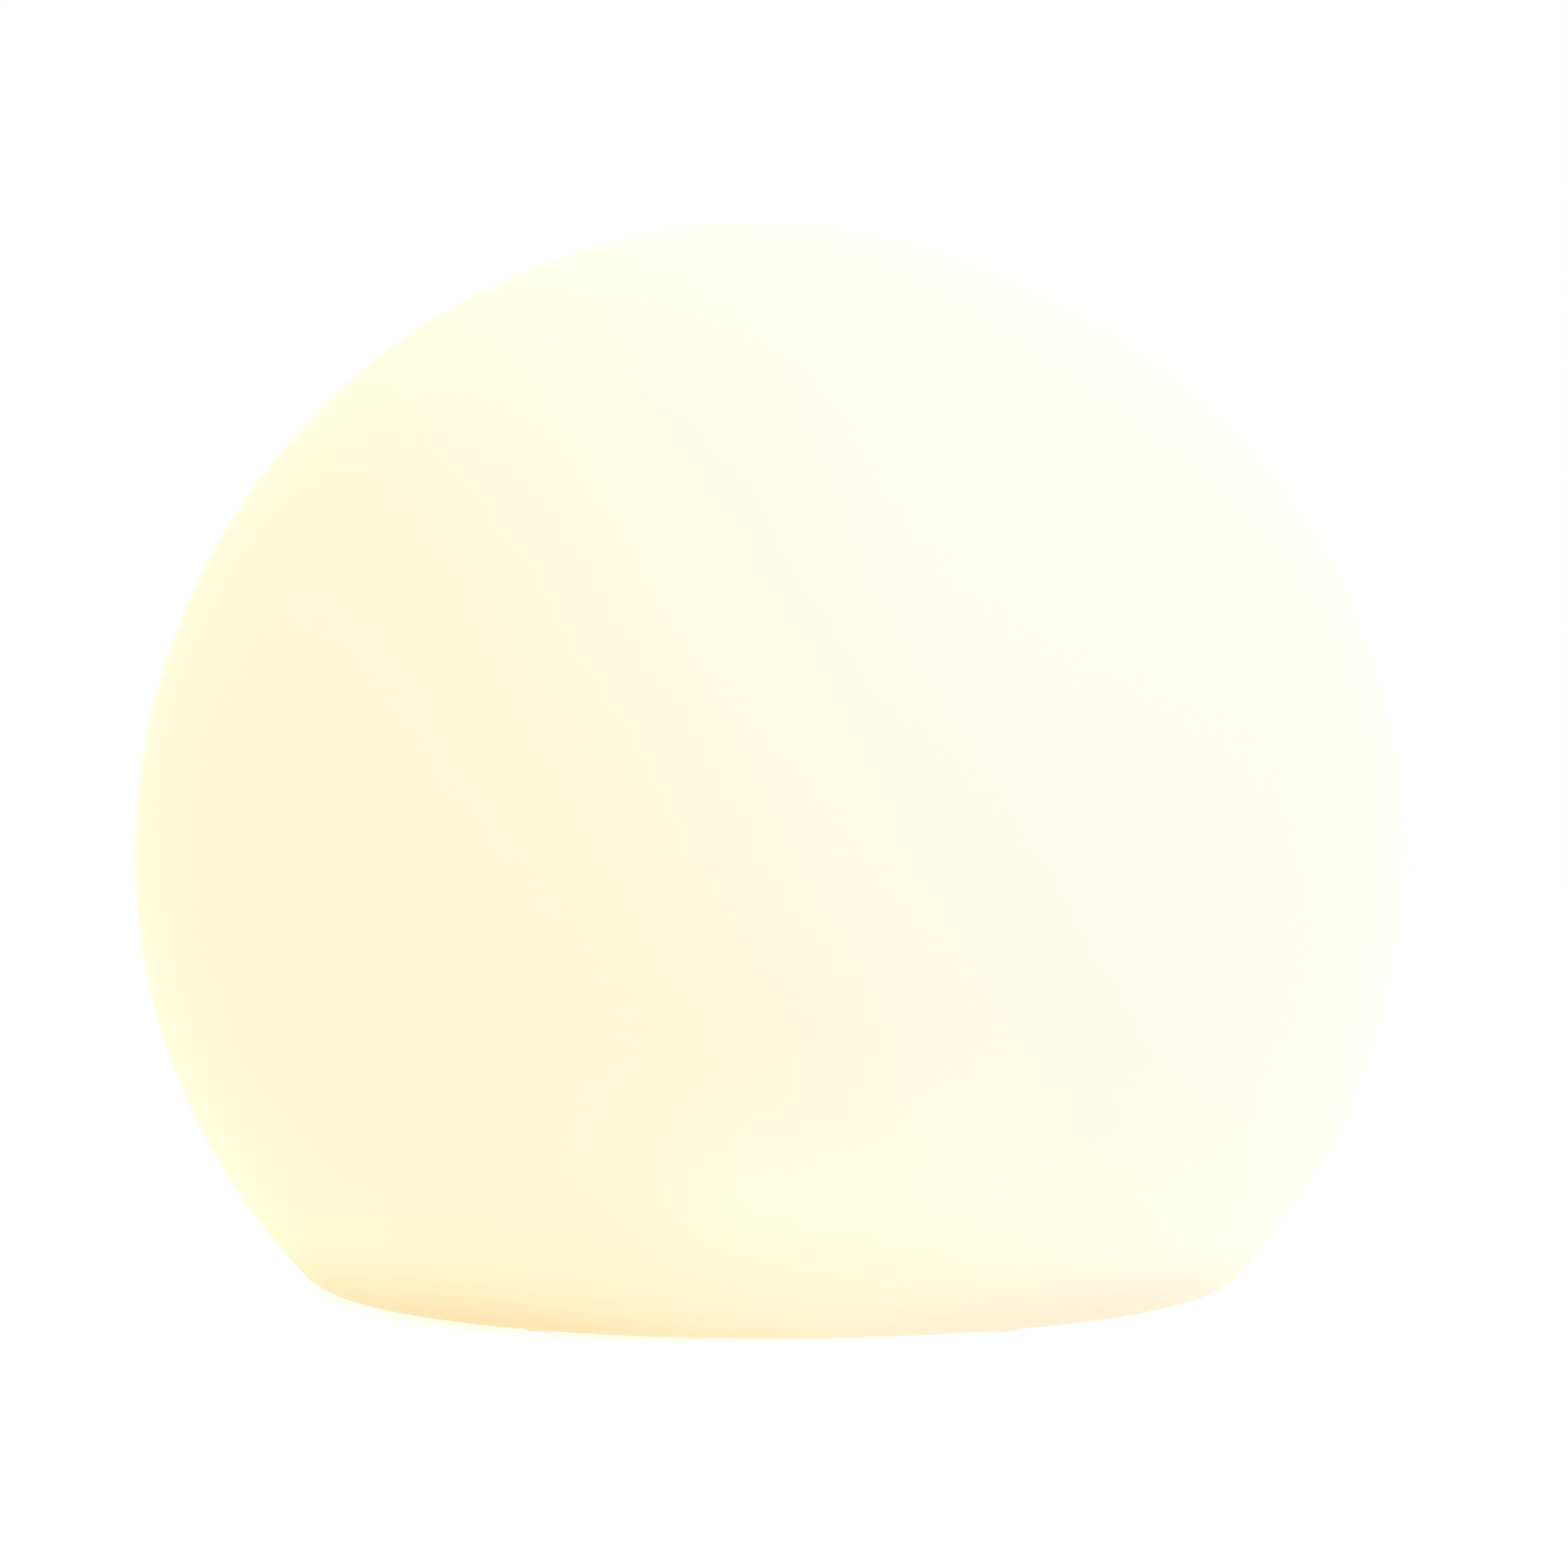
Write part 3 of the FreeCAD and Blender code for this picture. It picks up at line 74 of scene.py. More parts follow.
def addCamera(settings):
    data = bpy.data.cameras.new("photoCamera")
    data.sensor_width = settings["sensor"]
    data.lens = settings["focalPixels"] / settings["photoWidth"] * settings["sensor"]
    middle = settings["photoWidth"] / 2
    data.shift_x = (middle - settings["centrePixel"][0]) / settings["photoWidth"]
    data.shift_y = (settings["centrePixel"][1] - middle) / settings["photoWidth"]
    data.clip_start = 0.01
    data.clip_end = 50
    camera = bpy.data.objects.new("photoCamera", data)
    rise = math.radians(settings["rise"])
    reach = settings["distance"] * globeRadius
    camera.location = globeCentre + Vector((0, -math.cos(rise), math.sin(rise))) * reach
    camera.rotation_euler = (globeCentre - camera.location).to_track_quat("-Z", "Y").to_euler()
    bpy.context.scene.collection.objects.link(camera)
    bpy.context.scene.camera = camera


addCamera(cameraSettings)
print("camera placed")


def newMaterial(name):
    material = bpy.data.materials.new(name)
    material.use_nodes = True
    tree = material.node_tree
    return material, tree, tree.nodes["Principled BSDF"]


def setSockets(node, values):
    for name, value in values.items():
        node.inputs[name].default_value = value


def colour(red, green, blue):
    return (red, green, blue, 1.0)


def addGroup(tree, group, values):
    node = tree.nodes.new("ShaderNodeGroup")
    node.node_tree = group
    setSockets(node, values)
    return node


def addMath(tree, operation, first, second=None, third=None):
    node = tree.nodes.new("ShaderNodeMath")
    node.operation = operation
    for socket, value in zip(node.inputs, (first, second, third)):
        if value is None:
            continue
        if isinstance(value, bpy.types.NodeSocket):
            tree.links.new(value, socket)
        else:
            socket.default_value = value
    return node.outputs[0]


def addMix(tree, factor, first, second):
    node = tree.nodes.new("ShaderNodeMix")
    node.data_type = "RGBA"
    for socket, value in ((node.inputs[0], factor), (node.inputs[6], first),
                          (node.inputs[7], second)):
        if isinstance(value, bpy.types.NodeSocket):
            tree.links.new(value, socket)
        else:
            socket.default_value = value
    return node.outputs[2]


def addRange(tree, value, low, high, toLow=0.0, toHigh=1.0):
    node = tree.nodes.new("ShaderNodeMapRange")
    node.interpolation_type = "SMOOTHSTEP"
    tree.links.new(value, node.inputs["Value"])
    for name, setting in (("From Min", low), ("From Max", high),
                          ("To Min", toLow), ("To Max", toHigh)):
        if isinstance(setting, bpy.types.NodeSocket):
            tree.links.new(setting, node.inputs[name])
        else:
            node.inputs[name].default_value = setting
    return node.outputs["Result"]


def addNoise(tree, vector, scale, detail=3.0, roughness=0.5):
    node = tree.nodes.new("ShaderNodeTexNoise")
    tree.links.new(vector, node.inputs["Vector"])
    if isinstance(scale, bpy.types.NodeSocket):
        tree.links.new(scale, node.inputs["Scale"])
    else:
        node.inputs["Scale"].default_value = scale
    node.inputs["Detail"].default_value = detail
    node.inputs["Roughness"].default_value = roughness
    return node.outputs["Fac"]


def objectPlace(tree):
    return tree.nodes.new("ShaderNodeTexCoord").outputs["Object"]


def startGroup(name, inputs, outputs):
    group = bpy.data.node_groups.new(name, "ShaderNodeTree")
    for label, kind, value in inputs:
        socket = group.interface.new_socket(label, in_out="INPUT", socket_type=kind)
        socket.default_value = value
    for label, kind in outputs:
        group.interface.new_socket(label, in_out="OUTPUT", socket_type=kind)
    return group, group.nodes.new("NodeGroupInput"), group.nodes.new("NodeGroupOutput")


number = "NodeSocketFloat"
tint = "NodeSocketColor"


# fine moulding grain with slow patches, for anything that came out of a mould
def buildMouldGrain():
    group, inside, outside = startGroup(
        "mouldGrain",
        [("Colour", tint, colour(0.8, 0.8, 0.8)), ("Patch Colour", tint, colour(0.7, 0.7, 0.7)),
         ("Patch Amount", number, 0.3), ("Grain Scale", number, 1400.0),
         ("Roughness", number, 0.5), ("Roughness Spread", number, 0.1)],
        [("Colour", tint), ("Roughness", number), ("Height", number)])
    place = objectPlace(group)
    grain = addNoise(group, place, inside.outputs["Grain Scale"], detail=2.0, roughness=0.6)
    patches = addNoise(group, place, 22.0, detail=4.0, roughness=0.6)
    patchMask = addMath(group, "MULTIPLY", addRange(group, patches, 0.4, 0.75),
                        inside.outputs["Patch Amount"])
    mixed = addMix(group, patchMask, inside.outputs["Colour"], inside.outputs["Patch Colour"])
    spread = addMath(group, "MULTIPLY_ADD", addMath(group, "SUBTRACT", patches, 0.5),
                     inside.outputs["Roughness Spread"], inside.outputs["Roughness"])
    group.links.new(mixed, outside.inputs["Colour"])
    group.links.new(spread, outside.inputs["Roughness"])
    group.links.new(grain, outside.inputs["Height"])
    return group


# scuffs and ground dust, strongest near the surface that the light stands on
def buildGroundWear():
    group, inside, outside = startGroup(
        "groundWear",
        [("Colour", tint, colour(0.8, 0.8, 0.8)), ("Dust Colour", tint, colour(0.4, 0.36, 0.3)),
         ("Dust Amount", number, 0.3), ("Dust Height", number, 0.004)],
        [("Colour", tint), ("Mask", number)])
    place = objectPlace(group)
    split = group.nodes.new("ShaderNodeSeparateXYZ")
    group.links.new(place, split.inputs[0])
    low = addRange(group, split.outputs["Z"], inside.outputs["Dust Height"], 0.0)
    blotches = addRange(group, addNoise(group, place, 90.0, detail=5.0, roughness=0.65), 0.45, 0.7)
    mask = addMath(group, "MULTIPLY", addMath(group, "MULTIPLY", low, blotches),
                   inside.outputs["Dust Amount"])
    mixed = addMix(group, mask, inside.outputs["Colour"], inside.outputs["Dust Colour"])
    group.links.new(mixed, outside.inputs["Colour"])
    group.links.new(mask, outside.inputs["Mask"])
    return group


# drawn or brushed metal: long streaks along one axis and a few dull spots
def buildBrushedGrain():
    group, inside, outside = startGroup(
        "brushedGrain",
        [("Colour", tint, colour(0.7, 0.7, 0.7)), ("Dull Colour", tint, colour(0.5, 0.5, 0.5)),
         ("Dull Amount", number, 0.35), ("Streak Scale", number, 900.0),
         ("Roughness", number, 0.3), ("Roughness Spread", number, 0.2)],
        [("Colour", tint), ("Roughness", number), ("Height", number)])
    place = objectPlace(group)
    stretch = group.nodes.new("ShaderNodeVectorMath")
    stretch.operation = "MULTIPLY"
    stretch.inputs[1].default_value = (0.04, 1.0, 1.0)
    group.links.new(place, stretch.inputs[0])
    streaks = addNoise(group, stretch.outputs[0], inside.outputs["Streak Scale"],
                       roughness=0.6)
    spots = addRange(group, addNoise(group, place, 260.0, detail=4.0, roughness=0.6), 0.52, 0.72)
    dull = addMath(group, "MULTIPLY", spots, inside.outputs["Dull Amount"])
    mixed = addMix(group, dull, inside.outputs["Colour"], inside.outputs["Dull Colour"])
    rough = addMath(group, "MULTIPLY_ADD", streaks, inside.outputs["Roughness Spread"],
                    inside.outputs["Roughness"])
    group.links.new(mixed, outside.inputs["Colour"])
    group.links.new(rough, outside.inputs["Roughness"])
    group.links.new(streaks, outside.inputs["Height"])
    return group


mouldGrain = buildMouldGrain()
groundWear = buildGroundWear()
brushedGrain = buildBrushedGrain()


def addBump(tree, shader, height, strength, distance):
    bump = tree.nodes.new("ShaderNodeBump")
    bump.inputs["Strength"].default_value = strength
    bump.inputs["Distance"].default_value = distance
    tree.links.new(height, bump.inputs["Height"])
    tree.links.new(bump.outputs["Normal"], shader.inputs["Normal"])


# the moulded surface under its dust
def linkSurface(tree, shader, surface, wear):
    tree.links.new(surface.outputs["Colour"], wear.inputs["Colour"])
    tree.links.new(wear.outputs["Colour"], shader.inputs["Base Color"])
    tree.links.new(surface.outputs["Roughness"], shader.inputs["Roughness"])


def mouldedPlastic(name, main, patch, roughness, grain=0.35, coat=0.0, dust=0.0):
    material, tree, shader = newMaterial(name)
    surface = addGroup(tree, mouldGrain, {"Colour": main, "Patch Colour": patch,
                                          "Roughness": roughness})
    wear = addGroup(tree, groundWear, {"Dust Amount": dust})
    linkSurface(tree, shader, surface, wear)
    setSockets(shader, {"Coat Weight": coat, "Coat Roughness": 0.15})
    addBump(tree, shader, surface.outputs["Height"], grain, 0.0002)
    return material


def softRubber(name, main, patch, roughness=0.75, grain=0.5, dust=0.0, glow=None):
    material, tree, shader = newMaterial(name)
    surface = addGroup(tree, mouldGrain, {"Colour": main, "Patch Colour": patch,
                                          "Roughness": roughness, "Grain Scale": 2200.0,
                                          "Patch Amount": 0.5})
    wear = addGroup(tree, groundWear, {"Dust Amount": dust, "Dust Height": 0.0025})
    linkSurface(tree, shader, surface, wear)
    setSockets(shader, {"Sheen Weight": 0.15, "Sheen Roughness": 0.5})
    # a glow here is painted light: the rubber is no lamp but gets an emission
    if glow:
        setSockets(shader, {"Emission Color": glow, "Emission Strength": 1.0})
    addBump(tree, shader, surface.outputs["Height"], grain, 0.00015)
    return material


def brushedMetal(name, main, dull, roughness=0.25, streaks=900.0, grain=0.2):
    material, tree, shader = newMaterial(name)
    surface = addGroup(tree, brushedGrain, {"Colour": main, "Dull Colour": dull,
                                            "Roughness": roughness, "Streak Scale": streaks})
    tree.links.new(surface.outputs["Colour"], shader.inputs["Base Color"])
    tree.links.new(surface.outputs["Roughness"], shader.inputs["Roughness"])
    setSockets(shader, {"Metallic": 1.0})
    addBump(tree, shader, surface.outputs["Height"], grain, 0.00005)
    return material


# the shell glows from inside, warm at its lower left; its pale upper right is partly painted
# light, the whitening that the outside light gives that side
glowSettings = {
    "warm": colour(0.57, 0.490, 0.262),      # glow at the lower left of the photographed front
    "pale": colour(0.540, 0.546, 0.486),     # and at its upper right, partly painted light of the outside light on that side
    "tilt": 0.45,                            # how much the change climbs as it crosses
    "warmEnd": -0.65,                        # where it starts and ends, in globe radii
    "paleEnd": 0.85,
    "cloudScale": 11.0,      # slow unevenness of the wall
    "cloudAmount": 0.16,
    "rimWander": 0.003,
    "bounce": colour(0.55, 0.57, 0.43),      # light thrown up by the floor of the shell
    "bounceStart": 0.1,      # its share at the warm side
    "bounceAmount": 0.55,
    "bounceEnd": 0.18,       # how far across it reaches that amount
    "bounceMiddle": 0.026,
    "bounceReach": 0.016,
    "rimWarm": colour(0.56, 0.335, 0.125),   # the last band above the base ring
    "rimPale": colour(0.55, 0.385, 0.26),
    "rimPaleEnd": 0.0,
    "rimMiddleReach": 0.5,   # the band is narrower in the middle
    "rimMiddleLift": 0.0045,
    "rimLow": -0.001,
    "rimHigh": 0.018,
    "base": colour(0.62, 0.60, 0.56),        # the plastic itself
}


def globePlastic(settings):
    material, tree, shader = newMaterial("litPolyethylene")
    place = objectPlace(tree)
    split = tree.nodes.new("ShaderNodeSeparateXYZ")
    tree.links.new(place, split.inputs[0])
    height = split.outputs["Z"]
    climb = addMath(tree, "MULTIPLY", addMath(tree, "SUBTRACT", height, globeCentre.z),
                    settings["tilt"])
    slant = addMath(tree, "ADD", split.outputs["X"], climb)
    across = addRange(tree, slant, settings["warmEnd"] * globeRadius,
                      settings["paleEnd"] * globeRadius)
    cloud = addNoise(tree, place, settings["cloudScale"])
    patchy = addMath(tree, "MULTIPLY_ADD", cloud, settings["cloudAmount"],
                     -settings["cloudAmount"] / 2)
    across = addMath(tree, "ADD", across, patchy)
    # the pale side of this mix is partly painted light, standing for the outside light on that
    # side
    body = addMix(tree, across, settings["warm"], settings["pale"])
    rise = addRange(tree, height, settings["bounceMiddle"] - settings["bounceReach"],
                    settings["bounceMiddle"])
    fall = addRange(tree, height, settings["bounceMiddle"] + 2 * settings["bounceReach"],
                    settings["bounceMiddle"])
    band = addMath(tree, "MULTIPLY", rise, fall)
    amount = addRange(tree, across, 0.0, settings["bounceEnd"], settings["bounceStart"],
                      settings["bounceAmount"])
    bounce = addMath(tree, "MULTIPLY", band, amount)
    body = addMix(tree, bounce, body, settings["bounce"])
    rimEdge = addMath(tree, "MULTIPLY_ADD", cloud, settings["rimWander"], height)
    sideways = addMath(tree, "ABSOLUTE", split.outputs["X"])
    middle = addRange(tree, sideways, settings["rimMiddleReach"] * globeRadius, 0.0)
    rimEdge = addMath(tree, "MULTIPLY_ADD", middle, settings["rimMiddleLift"], rimEdge)
    rimMask = addRange(tree, rimEdge, settings["rimHigh"], settings["rimLow"])
    rimAcross = addRange(tree, slant, settings["warmEnd"] * globeRadius,
                         settings["rimPaleEnd"] * globeRadius)
    rim = addMix(tree, rimAcross, settings["rimWarm"], settings["rimPale"])
    glow = addMix(tree, rimMask, body, rim)
    tree.links.new(glow, shader.inputs["Emission Color"])
    shader.inputs["Emission Strength"].default_value = 1.0
    surface = addGroup(tree, mouldGrain, {"Colour": settings["base"],
                                          "Patch Colour": settings["base"],
                                          "Roughness": 0.48, "Roughness Spread": 0.08,
                                          "Grain Scale": 650.0, "Patch Amount": 0.0})
    wear = addGroup(tree, groundWear, {"Dust Amount": 0.12, "Dust Height": 0.0035})
    linkSurface(tree, shader, surface, wear)
    setSockets(shader, {"Specular IOR Level": 0.12})
    addBump(tree, shader, surface.outputs["Height"], 0.25, 0.0001)
    return material


# floor, lamps and world: sizes and places in metres, powers in watts
stageSettings = {
    "floorSize": 12.0,
    "floorWhite": 0.86,
    "floorLift": 0.58,       # the floor's own white, so that only the shadow stays below white
    "worldLight": 0.64,
    "keyPower": 2.0,
    "keySize": 0.9,
    "keyPlace": (0.75, -0.95, 1.05),
    "fillPower": 1.0,
    "fillSize": 1.2,
    "fillPlace": (-1.1, -0.9, 0.5),
    "topPower": 0.8,
    "topSize": 1.2,
    "topPlace": (0.0, 0.1, 1.5),
}


# one for the rays that look straight at the background, also in metal and clear plastic
def addSeenMask(tree):
    paths = tree.nodes.new("ShaderNodeLightPath")
    return addMath(tree, "MAXIMUM", paths.outputs["Is Camera Ray"],
                   addMath(tree, "MAXIMUM", paths.outputs["Is Glossy Ray"],
                           paths.outputs["Is Transmission Ray"]))


def addFloor(settings):
    mesh = bpy.data.meshes.new("studioFloor")
    half = settings["floorSize"] / 2
    mesh.from_pydata([(-half, -half, 0), (half, -half, 0), (half, half, 0), (-half, half, 0)],
                     [], [(0, 1, 2, 3)])
    floor = bpy.data.objects.new("studioFloor", mesh)
    bpy.context.scene.collection.objects.link(floor)
    material, tree, shader = newMaterial("floorPaper")
    place = objectPlace(tree)
    fibres = addRange(tree, addNoise(tree, place, 60.0, detail=4.0, roughness=0.6), 0.3, 0.7,
                      toHigh=0.02)
    white = settings["floorWhite"]
    paper = addMix(tree, fibres, colour(white, white, white),
                   colour(white * 0.98, white * 0.98, white * 0.97))
    tree.links.new(paper, shader.inputs["Base Color"])
    setSockets(shader, {"Roughness": 0.9, "Specular IOR Level": 0.1})
    shader.inputs["Emission Color"].default_value = colour(1, 1, 1)
    lift = addMath(tree, "MULTIPLY", addSeenMask(tree), settings["floorLift"])
    tree.links.new(lift, shader.inputs["Emission Strength"])
    mesh.materials.append(material)


def addLamp(name, place, size, power):
    data = bpy.data.lights.new(name, "AREA")
    data.shape = "DISK"
    data.size = size
    data.energy = power
    lamp = bpy.data.objects.new(name, data)
    lamp.location = place
    lamp.rotation_euler = (globeCentre - lamp.location).to_track_quat("-Z", "Y").to_euler()
    bpy.context.scene.collection.objects.link(lamp)


def addWorld(settings):
    world = bpy.data.worlds.new("studioWorld")
    bpy.context.scene.world = world
    world.use_nodes = True
    tree = world.node_tree
    background = tree.nodes["Background"]
    background.inputs["Color"].default_value = colour(1, 1, 1)
    strength = addMath(tree, "MULTIPLY_ADD", addSeenMask(tree), 1.0 - settings["worldLight"],
                       settings["worldLight"])
    tree.links.new(strength, background.inputs["Strength"])


addFloor(stageSettings)
for lamp in ("key", "fill", "top"):
    addLamp(lamp + "Lamp", stageSettings[lamp + "Place"], stageSettings[lamp + "Size"],
            stageSettings[lamp + "Power"])
addWorld(stageSettings)
bpy.context.scene.view_settings.view_transform = "Standard"
print("stage lit")


# printed boards: traces under the lacquer, in runs that change direction, and tinned dots
def buildBoardPattern():
    group, inside, outside = startGroup(
        "boardPattern",
        [("Trace Pitch", number, 0.0012), ("Run Scale", number, 130.0),
         ("Dot Scale", number, 420.0)],
        [("Traces", number), ("Dots", number), ("Weave", number)])
    place = objectPlace(group)
    split = group.nodes.new("ShaderNodeSeparateXYZ")
    group.links.new(place, split.inputs[0])
    lines = []
    for axis in ("X", "Y"):
        count = addMath(group, "DIVIDE", split.outputs[axis], inside.outputs["Trace Pitch"])
        lines.append(addRange(group, addMath(group, "PINGPONG", count, 0.5), 0.16, 0.12))
    runs = group.nodes.new("ShaderNodeTexVoronoi")
    runs.distance = "CHEBYCHEV"
    group.links.new(place, runs.inputs["Vector"])
    group.links.new(inside.outputs["Run Scale"], runs.inputs["Scale"])
    pick = group.nodes.new("ShaderNodeSeparateColor")
    group.links.new(runs.outputs["Color"], pick.inputs[0])
    along = addMath(group, "LESS_THAN", pick.outputs[0], 0.35)
    across = addMath(group, "GREATER_THAN", pick.outputs[0], 0.6)
    traces = addMath(group, "ADD", addMath(group, "MULTIPLY", lines[0], along),
                     addMath(group, "MULTIPLY", lines[1], across))
    dots = group.nodes.new("ShaderNodeTexVoronoi")
    group.links.new(place, dots.inputs["Vector"])
    group.links.new(inside.outputs["Dot Scale"], dots.inputs["Scale"])
    keep = group.nodes.new("ShaderNodeSeparateColor")
    group.links.new(dots.outputs["Color"], keep.inputs[0])
    dotMask = addMath(group, "MULTIPLY", addRange(group, dots.outputs["Distance"], 0.22, 0.16),
                      addMath(group, "GREATER_THAN", keep.outputs[0], 0.8))
    group.links.new(traces, outside.inputs["Traces"])
    group.links.new(dotMask, outside.inputs["Dots"])
    group.links.new(addNoise(group, place, 1800.0, detail=2.0), outside.inputs["Weave"])
    return group


boardPattern = buildBoardPattern()


def circuitBoard(name, lacquer, copper, tracePitch):
    material, tree, shader = newMaterial(name)
    pattern = addGroup(tree, boardPattern, {"Trace Pitch": tracePitch})
    coated = addMix(tree, pattern.outputs["Traces"], lacquer, copper)
    tinned = addMix(tree, pattern.outputs["Dots"], coated, colour(0.62, 0.61, 0.58))
    tree.links.new(tinned, shader.inputs["Base Color"])
    tree.links.new(addMath(tree, "MULTIPLY", pattern.outputs["Dots"], 0.9),
                   shader.inputs["Metallic"])
    tree.links.new(addMath(tree, "MULTIPLY_ADD", pattern.outputs["Weave"], 0.15, 0.25),
                   shader.inputs["Roughness"])
    setSockets(shader, {"Coat Weight": 0.4, "Coat Roughness": 0.2})
    addBump(tree, shader, pattern.outputs["Traces"], 0.4, 0.00005)
    return material


def litChips(name):
    material, tree, shader = newMaterial(name)
    place = objectPlace(tree)
    dots = addRange(tree, addNoise(tree, place, 700.0, detail=2.0), 0.35, 0.65)
    phosphor = addMix(tree, dots, colour(0.90, 0.70, 0.22), colour(0.95, 0.82, 0.40))
    tree.links.new(phosphor, shader.inputs["Base Color"])
    glow = addMix(tree, dots, colour(1.0, 0.86, 0.60), colour(1.0, 0.92, 0.74))
    tree.links.new(glow, shader.inputs["Emission Color"])
    setSockets(shader, {"Emission Strength": 1.5, "Roughness": 0.4})
    return material


def shrinkWrap(name, main, seam):
    material, tree, shader = newMaterial(name)
    place = objectPlace(tree)
    creases = addNoise(tree, place, 240.0, detail=4.0, roughness=0.65)
    film = addMix(tree, addRange(tree, creases, 0.55, 0.75, toHigh=0.5), main, seam)
    tree.links.new(film, shader.inputs["Base Color"])
    rough = addMath(tree, "MULTIPLY_ADD", creases, 0.2, 0.2)
    tree.links.new(rough, shader.inputs["Roughness"])
    setSockets(shader, {"Coat Weight": 0.5, "Coat Roughness": 0.1})
    addBump(tree, shader, creases, 0.08, 0.0002)
    return material


def clearRod(name):
    material, tree, shader = newMaterial(name)
    place = objectPlace(tree)
    haze = addNoise(tree, place, 500.0, roughness=0.6)
    rough = addMath(tree, "MULTIPLY_ADD", haze, 0.12, 0.02)
    tree.links.new(rough, shader.inputs["Roughness"])
    tinted = addMix(tree, haze, colour(0.93, 0.96, 0.96), colour(0.85, 0.90, 0.90))
    tree.links.new(tinted, shader.inputs["Base Color"])
    setSockets(shader, {"Transmission Weight": 0.85, "IOR": 1.49})
    return material


